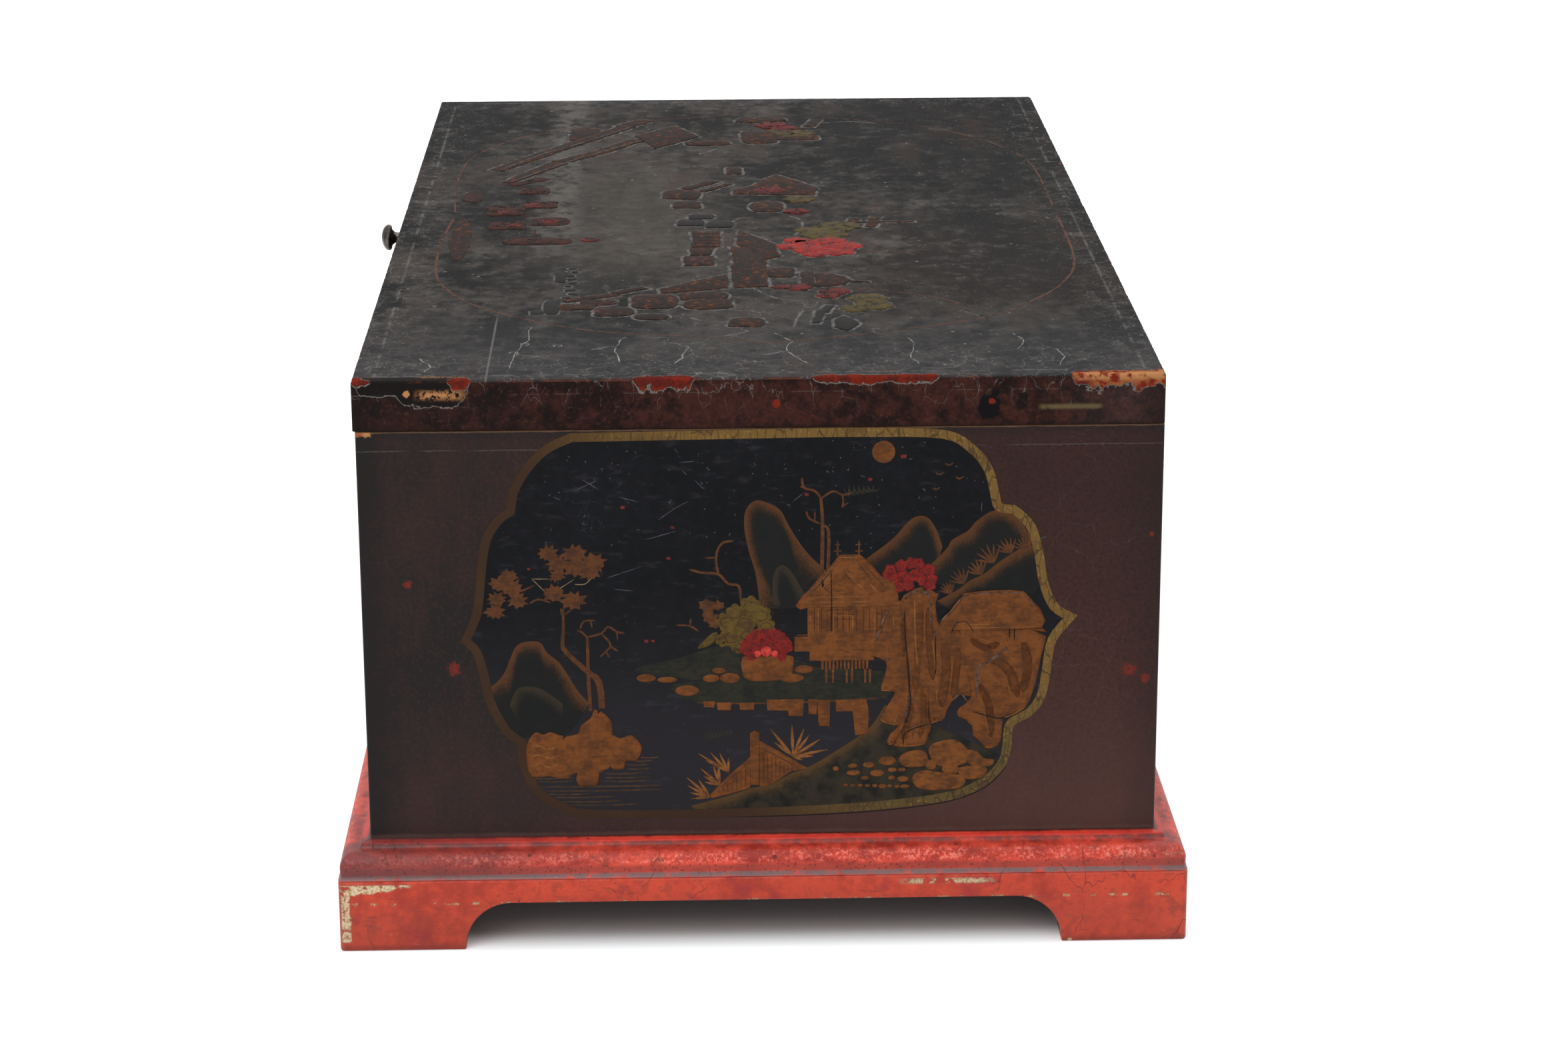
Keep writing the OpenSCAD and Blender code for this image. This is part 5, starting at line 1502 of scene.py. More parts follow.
def foreground(face):
    """The near hill with a fence wing, ferns, boulders and pebbles."""
    crest = [(-33, -79), (-20, -75.5), (-7.9, -71.6), (0.7, -69.6), (9.3, -65), (17.1, -62),
        (26.4, -56.3), (37.1, -49.1), (43, -44), (48.5, -35)]
    foot = [(-30, -81.4), (0, -80.6), (40, -78.8), (70, -75.6), (88, -69), (98, -58)]
    hill(face, "near_hill", crest, foot, "near_dust")
    fence = [[(-8, -46.7), (-6, -45.8), (-4, -46.7), (-4, -70), (-8, -70)]]
    wings = [[(-7.9, -57.4), (-17.1, -65.6), (-25, -74.3), (-24.3, -75.8), (-16.4, -73.8),
        (-7.9, -71.3)], [(-4, -50.2), (5, -55.6), (16.4, -62.7), (9.3, -64.1), (0.7, -69.9),
        (-4, -71)]]
    face.lay(raised(wings, 0.25, 0.5), "fence_wings", 0.12, "gold_paint")
    face.lay(raised(fence, 0.45, 0.6), "fence_post", 0.14, "gold_paint")
    slats = []
    for i in range(1, 9):
        slats.append(((-8 - 1.9 * i, -59.6 - 1.72 * i), (-8 - 1.9 * i, -71 - 0.35 * i)))
        slats.append(((-4 + 1.7 * i, -54 - 1.02 * i), (-4 + 1.7 * i, -70.4 + 0.75 * i)))
    slats += [((-8, -59.6), (-23.5, -73.4)), ((-4, -53), (13, -62.6))]
    face.lay(drawn(slats, 0.42), "fence_lines", 0.36, "brown_line")
    ferns = (leaves((10, -57.4), ((0.7, -45.2), (2.1, -50.9), (9.6, -43.4), (14.6, -45.2),
        (17.1, -47.7), (21.4, -49.9), (24.6, -54.5), (18.6, -57.4), (13.9, -59.1)),
        1.3) + leaves((-25, -75.2), ((-34.6, -66.3), (-34.3, -69.9), (-33.2, -73.1), (-32.9, -75.9),
        (-29.6, -67.4)), 1.2) + leaves((-20.7, -69.9), ((-28.6, -62.4), (-27.5, -65.6),
        (-27.1, -68.4), (-23.6, -60.6), (-21.4, -59.9)), 1.2) + leaves((-17.1, -64.1),
        ((-29.6, -55.6), (-26.4, -58.8), (-24.6, -55.2), (-20.7, -55.6), (-17.1, -57.7)), 1.1))
    face.lay(strokes(ferns, 0.15), "ferns", 0.12, "pale_gold")
    stones = [flowing(outline, True, 3) for outline in ([(54.4, -59), (58, -56), (64.4, -55.4),
        (66.8, -59), (65, -62.5), (57, -62.7)], [(67.4, -53.6), (72.3, -51.3), (78, -50.9),
        (82.8, -54.5), (84, -60), (79, -62.6), (71, -62.4), (67.4, -58)], [(82, -55.6),
        (87.3, -56.2), (90, -59.2), (94.4, -60), (93, -62.8), (86, -63), (82.6, -60)], [(80, -63.4),
        (90, -62.8), (91.5, -65.5), (88, -68.4), (81, -68.2)], [(73, -62.6), (79.2, -62.6),
        (79, -65.8), (73.4, -65.6)], [(60, -68), (64, -64.4), (72, -65.4), (81, -67), (82.3, -70.5),
        (78, -73), (64, -73)], [(65.9, -60), (69.8, -60.2), (69.6, -63.8), (66, -63.6)])]
    for bounds in ((45.9, 53.4, -62, -57.9), (39.4, 44.4, -63, -60.2), (42.3, 48.4, -67, -63.8),
            (49.8, 53.7, -65, -63), (54, 57.3, -65, -63), (53.7, 58.7, -69.5, -66.8),
            (33, 37, -63, -61), (32.5, 38.2, -66.3, -63.8), (45.9, 49.4, -72.4, -70.2),
            (50, 53, -68.6, -66.6), (26.6, 29.2, -64.2, -62), (55, 59, -72.6, -70.6),
            (38.5, 42, -68.4, -66.6)):
        stones.append(oval(bounds, 345, 12))
    for i in range(9):
        stones.append(arc((32 + 3.1 * i, -70.6 - 0.12 * i), (1.15, 0.75), 0, 340, 9))
    face.lay(raised(stones, 0.4, 0.75), "boulders", 0.12, "stone_gold")
    reeds = []
    for i in range(8):
        reeds += leaves((-27 + 1.5 * i, -50 + 0.3 * i), ((-29 + 1.5 * i, -46),
            (-26 + 1.5 * i, -45)), 0.5)
    face.lay(strokes(reeds, 0.08), "dim_grass", 0.07, "dim_olive")


def scuffs(face):
    """Scratches and flaked specks that the ground has caught, and small red losses."""
    lines = [((87.9, 49), (88, 53)), ((-50, 38.6), (-38, 42)), ((-67, 22), (-52, 27)), ((-64, 17.3),
        (-55.7, 16.3)), ((62.9, 33), (62.9, 39)), ((-39, 51.5), (-32.5, 54.8)), ((-45, 47),
        (-38, 52)), ((10, 54), (15, 58)), ((-36, 71.4), (-30, 71.8)), ((-35, 68), (-33, 66)),
        ((38, 65), (40.4, 64.2)), ((101, 33.5), (104.5, 19)), ((103, 30), (107, 26)), ((99.5, 24),
        (103, 20)), ((108.5, 36), (115.5, 38)), ((-79, 60), (-70, 64)), ((-76, 64.6), (-69, 60)),
        ((-61, 57), (-54, 55)), ((-88, 57.4), (-85, 56)), ((-30, 64), (-26, 59.6))]
    chance = random.Random(5)
    for _ in range(46):
        a, u, turn = chance.uniform(-92, 96), chance.uniform(33, 78), chance.uniform(0, math.pi)
        reach = chance.uniform(0.4, 1.6)
        lines.append(((a, u), (a + reach * math.cos(turn), u + reach * math.sin(turn))))
    face.lay(drawn(lines, 0.28, 0.1), "scratches", 0.06, "scratch")
    flakes = []
    for a, u, r in ((-74, 62, 3), (4.4, 56.2, 2.4), (7.6, 52, 2.2), (26, 66.5, 1.6), (32, 67, 2),
            (-58, 54, 1.8), (-41, 54, 1.6), (-27, 60, 1.5), (63, 58, 2.4), (36, 47, 1.4),
            (45, 52, 1.5), (-22.5, 41, 1.2), (-14, 48.5, 1.2)):
        flakes.append([(*p, 0.3) for p in ragged(a, u, r * 0.7, int(a * 7), 0.7, 5)[:3]])
    face.lay(strokes(flakes, 0.1), "flakes", 0.06, "scratch")
    chips = []
    for i, (a, u, r) in enumerate(((-59.6, 52.5, 1.1), (-39.3, 43.6, 1.0), (-98.7, 26.4, 0.8),
            (-50.7, -5.6, 1.1), (-47.9, -5.6, 0.9), (46.7, -77.4, 0.9), (-41, 30.4, 1.0),
            (16, 57.2, 1.2), (42, 63.4, 1.1), (55.7, 72.9, 1.5))):
        chips.append(painted([ragged(a, u, r, i, 0.7, 4)]))
    face.lay(joined(chips), "red_losses", 0.05, "dark_red")


# The lid's worn scene


def uneven(outline, seed, amount=0.55, step=4.0):
    """An outline with its sides broken up, as wear leaves them."""
    chance = random.Random(seed)
    worn = []
    for start, end in zip(outline, list(outline[1:]) + [outline[0]]):
        start, end = Vector(start), Vector(end)
        count = max(1, round((end - start).length / step))
        for i in range(count):
            shift = Vector((chance.uniform(-1, 1), chance.uniform(-1, 1))) * amount
            worn.append(tuple(start.lerp(end, i / count) + (shift if i else shift * 0.3)))
    return worn


def worn_motif(face, name, outlines, finish, height=0.38, slope=0.8, halo=1.5):
    """Raised shapes with the pale dust that has settled round them."""
    outlines = [uneven(outline, i) for i, outline in enumerate(outlines)]
    if halo:
        dust = joined([painted([outset(outline, halo)], PAINT + 0.002 * i) for i,
            outline in enumerate(outlines)])
        face.lay(dust, name + "_dust", 0, "lid_dust")
    face.lay(raised(outlines, height, slope), name, 0.04, finish)


def bar(start, end, width, taper=0.0):
    """The outline of a straight bar."""
    start, end = Vector(start), Vector(end)
    side = (end - start).orthogonal().normalized() * (width / 2)
    thin = side * (1 - taper)
    return [tuple(p) for p in (start - side, end - thin, end + thin, start + side)]


def patch(left, right, low, high, rough=0.12, seed=1):
    """A block with soft uneven sides."""
    chance = random.Random(seed)
    a, u = (left + right) / 2, (low + high) / 2
    reach_a, reach_u = (right - left) / 2, (high - low) / 2
    outline = []
    for turn in range(0, 360, 45):
        x, y = math.cos(math.radians(turn)), math.sin(math.radians(turn))
        swell = (abs(x) + abs(y)) * 0.5 + 0.5
        outline.append((a + reach_a * x * swell * chance.uniform(1 - rough, 1 + rough),
            u + reach_u * y * swell * chance.uniform(1 - rough, 1 + rough)))
    return flowing(outline, True, 3)


def lid_frame(face):
    """The thin line of a shaped frame, almost worn away."""
    quarter = [(0, -142), (60, -145), (118, -143), (147.7, -136.3), (177, -122.6), (204.5, -98),
        (222, -75), (229.5, -56.7), (236.4, -27.2), (248, 4)]
    other = [(248, 4), (241, 29.6), (225, 68.3), (204.5, 102.4), (177.3, 122.8), (145.5, 138.7),
        (97.7, 149), (0, 150)]
    lines = []
    for line in (flowing(quarter), flowing(other)):
        lines.append([(*p, 1.1) for p in line])
        lines.append([(-p[0] - 14, p[1], 0.9) for p in line])
    face.lay(strokes(lines, 0.1), "frame_line", 0, "faint_red")


def lid_far_group(face):
    """At the far end: a bridge of long beams, with trees by its head."""
    beams = [bar((-190, -54.5), (-160.5, -72.6), 9), bar((-162, -71), (-131, -95.4), 9),
        bar((-131, -95), (-81, -120.4), 10, 0.4), bar((-244.5, -50), (-226, -64), 10),
        bar((-228, -60), (-150, -106), 9), bar((-155, -103), (-112, -127), 11, 0.3)]
    worn_motif(face, "bridge", beams, "lid_brown")
    worn_motif(face, "bridge_house", [[(-228, -35), (-197, -22), (-165, -45), (-200, -57)],
        patch(-222, -186, -92, -75, seed=4)], "lid_brown")
    worn_motif(face, "far_banks", [patch(-249, -235, -2, 25, seed=2), bar((-241, 42), (-221, 37),
        6), patch(-212, -176, 0, 20, seed=3), patch(-200, -184, 18, 42, seed=8),
        patch(-186, -172, -30, -6, seed=9)], "lid_brown")
    worn_motif(face, "far_red", [lobed(-226, 18, 10, 6), lobed(-216, 25, 8, 6)], "lid_red", 0.45,
        halo=0)
    worn_motif(face, "far_olive", [lobed(-203, 30, 11, 7), lobed(-210, 22, 8, 6)], "lid_olive",
        0.42, halo=0)
    face.lay(drawn((((-228.6, -56), (-176.4, -88), (-153.6, -104), (-110.5, -126)), ((-190, -51),
        (-131, -91), (-84, -117))), 0.8, 0.1), "bridge_lines", 0.42, "lid_dust")
    face.lay(drawn((((-199, 42), (-188, 25), (-174, 9)), ((-232, 40), (-236, 62), (-228, 76)),
        ((-170, -10), (-150, -22))), 1.3, 0.1), "far_lines", 0, "lid_dust")


def lid_centre_group(face):
    """Across the middle: rocks and blossom, halls and a garden terrace."""
    arch = [(-97, 16), (-80, 27), (-62.7, 36.5), (-45, 34), (-46, 20), (-49, -6), (-60, -6),
        (-70, 4), (-84, 10)]
    worn_motif(face, "rock_arch", [arch, patch(-31, -8, 2, 18, seed=11),
        patch(-60, -38, -41, -22, seed=12), patch(-34, -17, -36, -22, seed=13), bar((-82, -14),
        (-62, -30), 6), bar((-74, -8), (-56, -22), 5), patch(-115, -97, -9, -1, seed=14)],
        "lid_brown")
    worn_motif(face, "middle_red", [lobed(-57, 12, 8.5, 6), lobed(-8, 24, 6.5, 6)], "lid_red", 0.45,
        halo=0)
    worn_motif(face, "middle_olive", [lobed(-36, 26, 8, 6), lobed(26, 43, 11, 7),
        lobed(42, 36, 12, 7), lobed(34, 30, 8, 6)], "lid_olive", 0.42, halo=0)
    worn_motif(face, "bright_blossom", [lobed(a, u, r, 6, a) for a, u, r in ((58, 38, 8),
        (68, 44, 9), (79, 40, 9), (62, 27, 8), (74, 28, 9), (84, 30, 6.5), (68, 18, 6),
        (56, 22, 6))], "lid_bright", 0.44, halo=1.0)
    pagoda = [bar((6, 62), (28, 58), 5), bar((8, 52), (26, 48), 5), bar((17, 44), (17, 80), 3, 0.5)]
    worn_motif(face, "pagoda", pagoda, "lid_brown", slope=0.9)
    mound = [(2, 20.5, 1.3), (16, 26, 1.4), (30, 25, 1.4), (45, 20.5, 1.4), (51, 9, 1.3),
        (40, -2, 1.0), (20, -8, 1.0), (4, -2, 1.0)]
    face.lay(strokes([flowing(mound, True)[:-2]], 0.12), "mound_line", 0, "lid_dust")
    halls = [[(31.8, -4.5), (61.4, 11.5), (88.6, 13.7), (95.5, 7), (61.4, -6.5)], [(68, 7),
        (149, 7), (149, -9), (110, -9.5), (100, -8), (68, -9)], patch(112, 130, 6, 20, seed=15),
        [(34, -13.5), (68, -13.5), (68, -27), (34, -27)], [(69, -16), (85, -19), (85, -28),
        (69, -28)], [(86.4, -17), (105.7, -17), (105.7, -30.6), (86.4, -30.6)], [(122.7, -11),
        (150, -11), (160, -41), (150, -42)]]
    worn_motif(face, "halls", halls, "lid_brown")
    grooves = [((72, y), (147, y)) for y in (3.5, -1, -5.5)] + [((x, -14.5),
        (x, -26)) for x in (40, 47, 54, 61)]
    grooves += [((40, -3.5), (88, 9)), ((48, -4.5), (92, 7)), ((132, -13), (152, -36)), ((142, -12),
        (156, -34))]
    face.lay(drawn(grooves, 0.9, 0.1), "hall_lines", 0.4, "lid_dark")
    dome = [(122.7, 28), (123.5, 36), (129.5, 42), (137.5, 44.4), (145, 41), (149, 33), (149, 28)]
    worn_motif(face, "dome", [dome, bar((120, 25), (148.5, 25), 6), bar((139.8, 44), (139.8, 52), 3,
        0.4)], "lid_brown")
    worn_motif(face, "dark_rocks", [patch(12, 27, -20, -7, seed=16),
        patch(8, 22, -34, -21, seed=17), patch(-4, 8, -28, -16, seed=18)], "lid_dark")
    face.lay(drawn((((78, 49), (79, 66), (76, 84)), ((79, 66), (88, 78)), ((-4, 32), (-8, 52),
        (-22, 70)), ((150, 44), (170, 80), (196, 98))), 0.9, 0.1), "thin_trunks", 0, "faint_red")


def lid_near_group(face):
    """At the near end: a bank with rocks, trees and a moored boat."""
    rocks = [patch(156.8, 172, -34, -12, seed=21), patch(170, 188.6, -30, -9, seed=22),
        patch(161, 186, -55, -33, seed=23), patch(169, 180, -76, -61, seed=24),
        patch(177, 188.6, -86, -70, seed=25), patch(184, 200, -70, -53, seed=26),
        patch(197, 207, -52, -38, seed=27), bar((160, -60), (172, -84), 6), bar((148, -48),
        (158, -62), 6), patch(205, 222, -12, 4, seed=28)]
    worn_motif(face, "near_rocks", rocks, "lid_brown")
    worn_motif(face, "near_olive", [lobed(172, 50, 9, 6), lobed(185, 52, 9, 7),
        lobed(190, 44, 7, 6)], "lid_olive", 0.42, halo=0.8)
    worn_motif(face, "near_red", [lobed(158, 36, 7, 6), lobed(166, 33, 5.5, 6),
        lobed(150, 20, 6.5, 6), lobed(149, 12, 4.5, 6)], "lid_red", 0.45, halo=0.8)
    boat = [(203, 38), (210, 34), (224, 33.5), (230, 38.5), (224, 41.5), (217, 44.5), (210, 42)]
    worn_motif(face, "boat", [boat, bar((193, 29), (216, 25.5), 4.5, 0.4), bar((184, 33), (197, 30),
        4)], "lid_dark", slope=0.9)
    bank = [(150, 0, 1.4), (168, 9, 1.5), (177, 20.5, 1.5), (188.6, 21.7, 1.5), (205, 18, 1.3),
        (222, 16, 1.0)]
    shore_line = [(196, -32, 1.0), (208, -24, 1.4), (214, -8, 1.4), (226, -2, 1.2), (236, -14, 1.0)]
    face.lay(strokes([flowing(bank), flowing(shore_line)], 0.12), "bank_line", 0, "lid_dust")
    face.lay(strokes([[(*p, 1.0) for p in arc((174, -44), (7, 5.5), 0, 330, 12)]], 0.15),
        "rock_ring", 0.4, "lid_dark")


def lid_shore_figures(face):
    """Along the front: moored boats with their awnings, poles and small rocks. Much of it is lost."""
    worn_motif(face, "awnings", [patch(-37, -20, -110, -92, seed=31),
        patch(-26, -4, -128, -108, seed=32), patch(1, 18, -104, -86, seed=33),
        patch(8, 26, -124, -106, seed=34), patch(46, 59, -116, -86, 0.2, seed=35),
        patch(-70, -54, -112, -98, seed=36), bar((-92, -100), (-76, -118), 7)], "lid_rust",
        height=0.3, halo=0)
    worn_motif(face, "awning_red", [lobed(-27, -104, 5.5, 5), lobed(9, -95, 5, 5),
        lobed(50, -75, 4.5, 5), lobed(-12, -118, 4.5, 5), lobed(18, -112, 4, 5)], "lid_red",
        height=0.34, halo=0)
    worn_motif(face, "hulls", [flowing([(0, -137), (24, -132), (70, -131.5), (92, -136), (60, -141),
        (20, -141)], True, 3), flowing([(-66, -135), (-50, -129.5), (-35, -133), (-44, -141)], True,
        3)], "lid_brown", height=0.25, halo=0)
    poles = [((25, -101.7), (46, -101.7)), ((45, -81), (45, -122)), ((-4, -92), (-4, -126)),
        ((-60, -96), (-84, -128))]
    face.lay(drawn(poles, 1.4, 0.15), "poles", 0, "lid_rust")
    small = [patch(113.6, 136, -89, -84, seed=37), patch(169, 195.5, -92, -85, seed=38),
        patch(188, 196, -98, -92, seed=39)]
    small += [disc(x, -81.5 + (x % 3 - 1) * 1.2, 1.7 + x % 4 * 0.3) for x in range(109, 168, 7)]
    worn_motif(face, "small_rocks", small, "lid_dark", height=0.3, slope=0.7, halo=0.9)


def lid_cracks(face):
    """Long pale cracks at the near end, and ring marks."""
    lines = [((236, -55.6), (248, -59), (260, -60), (279.5, -58)), ((257, -29.5), (268, -31),
        (282, -35)), ((218, -96.5), (240, -97), (262, -101), (286, -102)), ((262, -101),
        (268, -90)), ((252, -59), (256, -70)), ((232, 8), (246, 14), (262, 12), (284, 20)),
        ((262, 12), (268, 2)), ((240, 62), (252, 66), (270, 63), (286, 66)), ((258, 120),
        (270, 126), (290, 124)), ((236, 108), (250, 112), (262, 108)), ((270, -140), (284, -136),
        (296, -140))]
    chance = random.Random(12)
    worked = []
    for line in lines:
        points = [(x + chance.uniform(-1.0, 1.0), y + chance.uniform(-1.0, 1.0)) for x,
            y in flowing(line, steps=3)]
        worked.append([(*p, chance.uniform(0.2, 0.7)) for p in points])
    for x, y in ((250, -84), (246.6, -98), (261, -102)):
        worked.append([(*p, 0.5) for p in arc((x, y), (1.8, 1.8), 0, 320, 9)])
    face.lay(strokes(worked, 0.08), "long_cracks", 0, "pale_crack")


# The studio


def studio():
    """A pale floor that keeps the shadow, a white world behind it, and soft lamps overhead."""
    only()
    bpy.ops.mesh.primitive_plane_add(size=60)
    floor = named("floor")
    f = Finish("floor", "floor", roughness=0.9, specular_ior_level=0.1)
    f.put("Base Color", paint(244, 246, 247))
    rays = f.add("LightPath", {}, out=None)
    seen = Wire(f, rays.outputs["Is Camera Ray"]).most(Wire(f, rays.outputs["Is Glossy Ray"]))
    f.put("Emission Strength", 1.0)
    outside = (f.x.size() - cad_high.x).most(f.y.size() - cad_high.y)
    glow = f.mix(outside.rise(-0.02, 0.01), (0, 0, 0, 1), f.mix(outside.rise(0.1, 1.4),
        FLOOR_GLOW_NEAR, FLOOR_GLOW_FAR))
    f.put("Emission Color", f.mix(seen, (0, 0, 0, 1), glow))
    f.on(floor)
    floor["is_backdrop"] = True
    world = bpy.data.worlds.new("studio")
    bpy.context.scene.world = world
    world.use_nodes = True
    nodes, links = world.node_tree.nodes, world.node_tree.links
    sky = nodes["Background"]
    rays = nodes.new("ShaderNodeLightPath")
    last = rays.outputs["Is Camera Ray"]
    for ray in ("Is Glossy Ray", "Is Transmission Ray"):
        either = nodes.new("ShaderNodeMath")
        either.operation = "MAXIMUM"
        links.new(last, either.inputs[0])
        links.new(rays.outputs[ray], either.inputs[1])
        last = either.outputs[0]
    level = nodes.new("ShaderNodeMapRange")
    links.new(last, level.inputs[0])
    level.inputs[3].default_value = WORLD_LIGHT
    level.inputs[4].default_value = 1.0
    links.new(level.outputs[0], sky.inputs["Strength"])
    sky.inputs["Color"].default_value = (1, 1, 1, 1)
    for name, place, size, power in LAMPS:
        lamp = bpy.data.lights.new(name, "AREA")
        lamp.size = size
        lamp.energy = power
        obj = bpy.data.objects.new(name, lamp)
        obj.location = place
        obj.rotation_euler = (-Vector(place)).to_track_quat("-Z", "Y").to_euler()
        bpy.context.scene.collection.objects.link(obj)


# Light: the world's strength on the object, the floor's own white near it and far off,
# and each lamp's place, size and watts
WORLD_LIGHT = 0.5
FLOOR_GLOW_NEAR = (0.47, 0.52, 0.53, 1)
FLOOR_GLOW_FAR = (0.5, 0.52, 0.54, 1)
LAMPS = (("key", (1.5, -0.9, 1.7), 1.6, 20), ("top", (-0.2, 0.4, 2.0), 2.0, 17))


def camera():
    azimuth, elevation, roll = (math.radians(a) for a in (CAMERA_AZIMUTH, CAMERA_ELEVATION,
        CAMERA_ROLL))
    back = Vector((math.cos(elevation) * math.cos(azimuth),
                   math.cos(elevation) * math.sin(azimuth), math.sin(elevation)))
    level = Vector((-math.sin(azimuth), math.cos(azimuth), 0))
    across = Matrix.Rotation(roll, 3, back) @ level
    up = back.cross(across)
    data = bpy.data.cameras.new("camera")
    data.lens = CAMERA_LENS
    data.sensor_width = SENSOR
    data.clip_start = 0.05
    obj = bpy.data.objects.new("camera", data)
    obj.matrix_world = Matrix.Translation(CAMERA_PLACE) @ Matrix((across, up,
        back)).transposed().to_4x4()
    bpy.context.scene.collection.objects.link(obj)
    bpy.context.scene.camera = obj


# The faces that carry decoration. The panels are centred a little above the middle of each wall.
PANEL_MIDDLE_Z = 137.6 * MM
END_SHIFT = 2.64 * MM
SCENE = (left_mountain, tree_by_island, island, thumb_hill, bare_tree, distant_hills,
    moon_and_birds, cliff, pavilion,
    blossom_cluster, flowers_by_shore, shore, foreground)


def near_end():
    face = Face("end", "carcass", (HALF_L + SKIN, END_SHIFT, PANEL_MIDDLE_Z), (0, 1, 0), (0, 0, 1))
    framed_panel(face)
    for motif in SCENE + (scuffs,):
        motif(face)


def far_end():
    """The hidden end has the same scene the other way round."""
    face = Face("far_end", "carcass", (-HALF_L - SKIN, 0, PANEL_MIDDLE_Z), (0, -1, 0), (0, 0, 1))
    framed_panel(face)
    mirrored = face.part("mirrored", 0, 0, flip=True)
    for motif in SCENE:
        motif(mirrored)


def front():
    face = Face("front", "carcass", (0, -HALF_D - SKIN, PANEL_MIDDLE_Z), (1, 0, 0), (0, 0, 1))
    framed_panel(face, 148)
    for motif in (left_mountain, tree_by_island, island):
        motif(face.part("left_" + motif.__name__, -132, 0))
    for motif in (thumb_hill, bare_tree, distant_hills):
        motif(face.part("right_" + motif.__name__, 96, -8))
    cliff(face.part("right_cliff", 112, -4))
    pavilion(face.part("right_hall", 106, -6))
    shore(face.part("right_shore", 106, -8))
    blossom_cluster(face.part("right_blossom", 106, -6))
    flowers_by_shore(face.part("left_flowers", -62, -8))
    shore(face.part("left_shore", -70, -10, flip=True))
    hill(face.part("middle", 0, -30), "peak", [(-40, -4), (-22, 18), (-10, 30), (-2, 33), (8, 26),
        (22, 8), (44, -6)],
        [(-36, -8), (-16, -12), (6, -14), (30, -11), (40, -9)], height=0.105)
    foreground(face.part("left_near", -120, 0, flip=True))
    foreground(face.part("right_near", 60, 0))
    moon_and_birds(face.part("sky", -150, -8))


def lid_scene():
    face = Face("lid", "lid", (0, 0, LID_FACE), (1, 0, 0), (0, 1, 0))
    for motif in (lid_frame, lid_far_group, lid_centre_group, lid_near_group, lid_shore_figures,
            lid_cracks):
        motif(face)


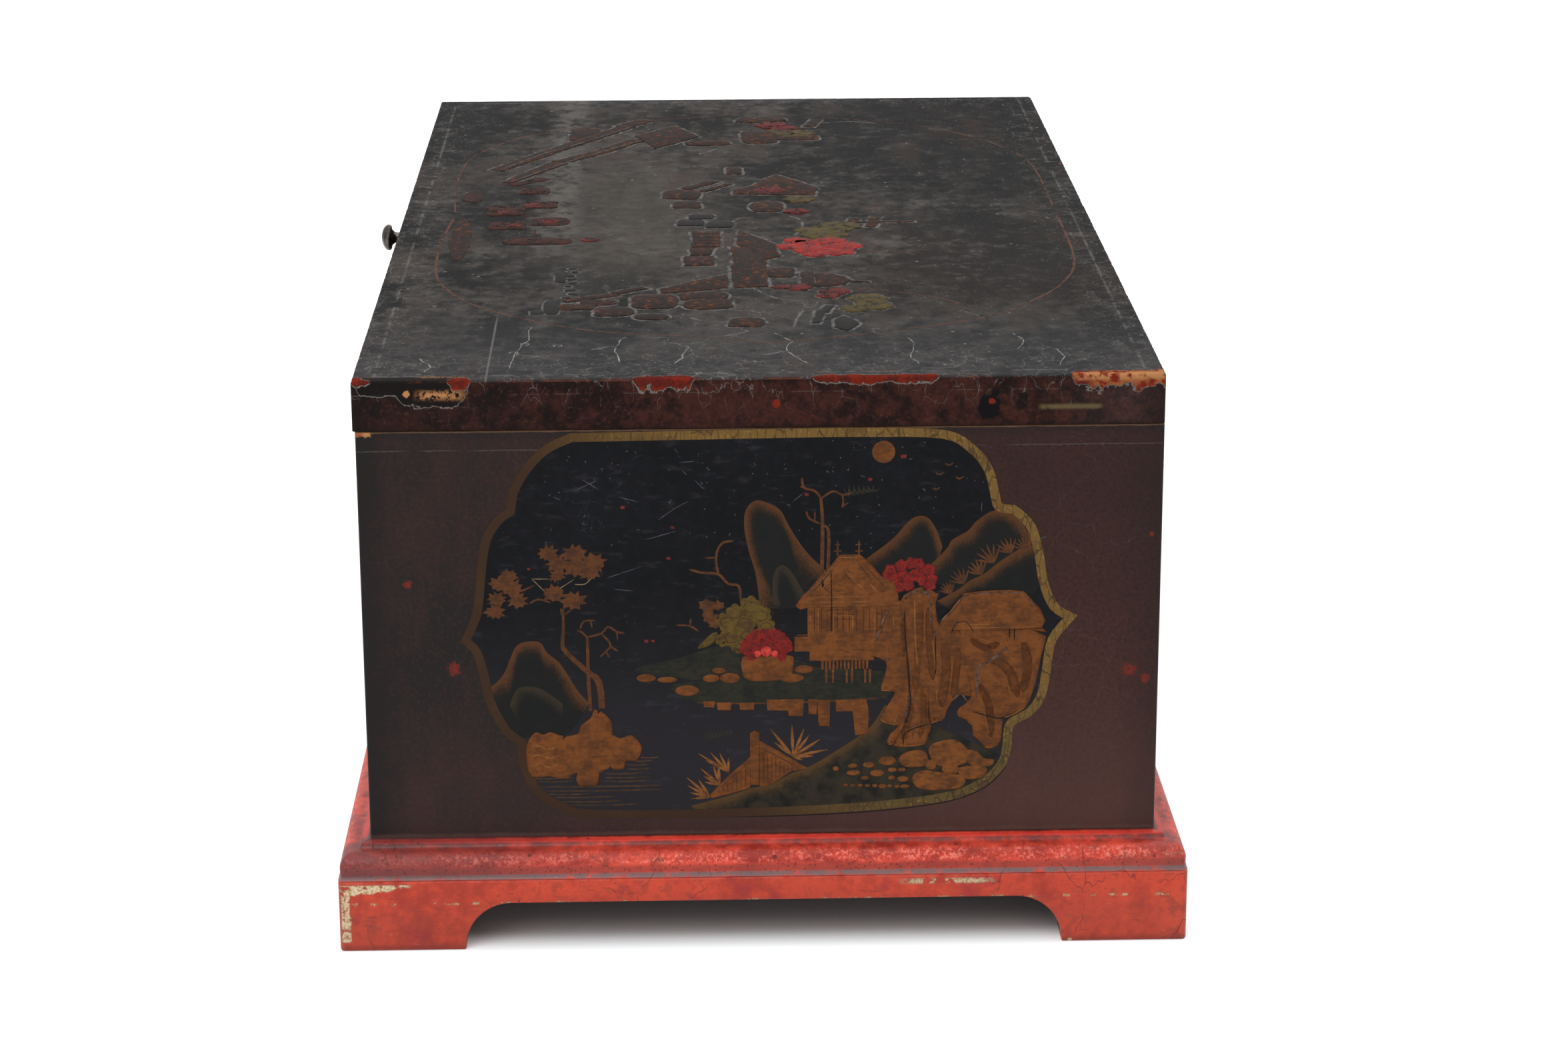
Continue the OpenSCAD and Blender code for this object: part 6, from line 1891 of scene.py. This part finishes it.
scene = bpy.context.scene
scene.view_settings.view_transform = "Standard"
camera()
studio()
colours = by_name(
    panel_black(),
    gold_band(),
    gold_dust("hill_dust", (86, 53, 30), (20, 21, 19)),
    gold_dust("hill_dim", (50, 42, 31), (18, 19, 18)),
    gold_dust("near_dust", (80, 58, 32), (46, 40, 30)),
    pigment("gold_paint", "old_brass", (122, 71, 34), (84, 50, 28), 7, 0.5),
    pigment("gold_shade", "old_brass", (98, 56, 30), (74, 44, 30), 7, 0.5, worn=(0.36, 0.8)),
    pigment("pale_gold", "old_brass", (142, 92, 47), (104, 66, 36), 4, 0.5, worn=(0.3, 0.46)),
    pigment("stone_gold", "old_brass", (128, 76, 36), (84, 52, 30), 5, 0.5),
    pigment("water_gold", "old_brass", (84, 60, 38), (52, 40, 32), 4, 0.5),
    pigment("brown_gold", "old_brass", (98, 59, 34), (68, 43, 29), 4, 0.5),
    pigment("olive_paint", "old_brass", (98, 78, 34), (70, 54, 30), 4, 0.45),
    pigment("dim_olive", "old_brass", (52, 48, 34), (38, 36, 30), 4, 0.5),
    pigment("land", "old_brass", (44, 42, 32), (27, 28, 26), 9, 0.45),
    pigment("red_paint", "red_lacquer", (124, 34, 30), (88, 30, 28), 3, 0.45),
    pigment("bright_red", "red_lacquer", (150, 40, 36), (112, 32, 31), 3, 0.45, worn=(0.34, 0.5)),
    pigment("pale_red", "red_lacquer", (214, 78, 66), (168, 48, 44), 2, 0.5),
    pigment("dark_red", "red_lacquer", (128, 46, 38), (88, 34, 30), 3, 0.5),
    pigment("brown_line", "brown_lacquer", (84, 48, 32), (58, 36, 28), 3, 0.5),
    # A purple-grey paint for the painted highlights on the upper edges of raised work.
    pigment("edge_highlight", "brown_lacquer", (104, 80, 68), (80, 54, 42), 4, 0.5, worn=(0.4, 0.56)),
    pigment("dark_line", "black_lacquer", (30, 24, 24), (20, 17, 18), 3, 0.5, wear=0.1),
    pigment("cream", "black_lacquer", (150, 128, 98), (110, 92, 72), 3, 0.6, wear=0.1),
    pigment("scratch", "black_lacquer", (92, 92, 100), (54, 54, 61), 2.5, 0.6, wear=0.1),
    pigment("lid_dust", "black_lacquer", (106, 104, 101), (70, 69, 67), 6, 0.6, shine=0.05,
        worn=(0.3, 0.56)),
    pigment("lid_brown", "brown_lacquer", (56, 36, 28), (25, 20, 19), 8, 0.55, wear=0.5, shine=0.03,
        streaks=(112, 60, 34)),
    pigment("lid_rust", "brown_lacquer", (66, 33, 26), (32, 25, 23), 7, 0.55, wear=0.5, shine=0.03,
        worn=(0.38, 0.5)),
    pigment("lid_dark", "black_lacquer", (32, 28, 27), (20, 19, 19), 6, 0.5, wear=0.5, shine=0.03),
    pigment("lid_red", "red_lacquer", (104, 33, 30), (52, 27, 26), 6, 0.5, wear=0.5, shine=0.03,
        worn=(0.36, 0.52)),
    pigment("lid_bright", "red_lacquer", (164, 44, 40), (84, 32, 30), 5, 0.5, wear=0.5, shine=0.03,
        worn=(0.34, 0.44)),
    pigment("lid_olive", "old_brass", (84, 70, 34), (46, 41, 29), 6, 0.5, wear=0.5, shine=0.03,
        worn=(0.34, 0.48)),
    pigment("faint_red", "black_lacquer", (98, 60, 44), (58, 42, 36), 12, 0.5, shine=0.03,
        worn=(0.36, 0.52)),
    pigment("pale_crack", "black_lacquer", (156, 154, 148), (96, 94, 92), 4, 0.6, shine=0.05,
        worn=(0.36, 0.5)))
red = red_lacquer()
metals = by_name(
    iron(),
    brass("old_brass", (176, 140, 84), (96, 74, 46), 0.32),
    brass("dark_bronze", (98, 92, 88), (44, 39, 37), 0.24))
woods = [pine("x"), pine("y")]
lid = lid_black().on(lid_lacquer())
lid.data.materials.append(woods[0].material)
for face in lid.data.polygons:
    if face.normal.z < -0.9:
        face.material_index = 1
brown_lacquer().on(carcass_lacquer())
for piece in aprons() + mouldings():
    red.on(piece)
for part in frame["record"]["subparts"]:
    low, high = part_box(part["node"])
    wood = woods[0 if high.x - low.x >= high.y - low.y else 1]
    metals.get(part["material_slot"], wood).on(frame["nodes"][part["node"]])
near_end()
lid_scene()
far_end()
front()

low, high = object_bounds()
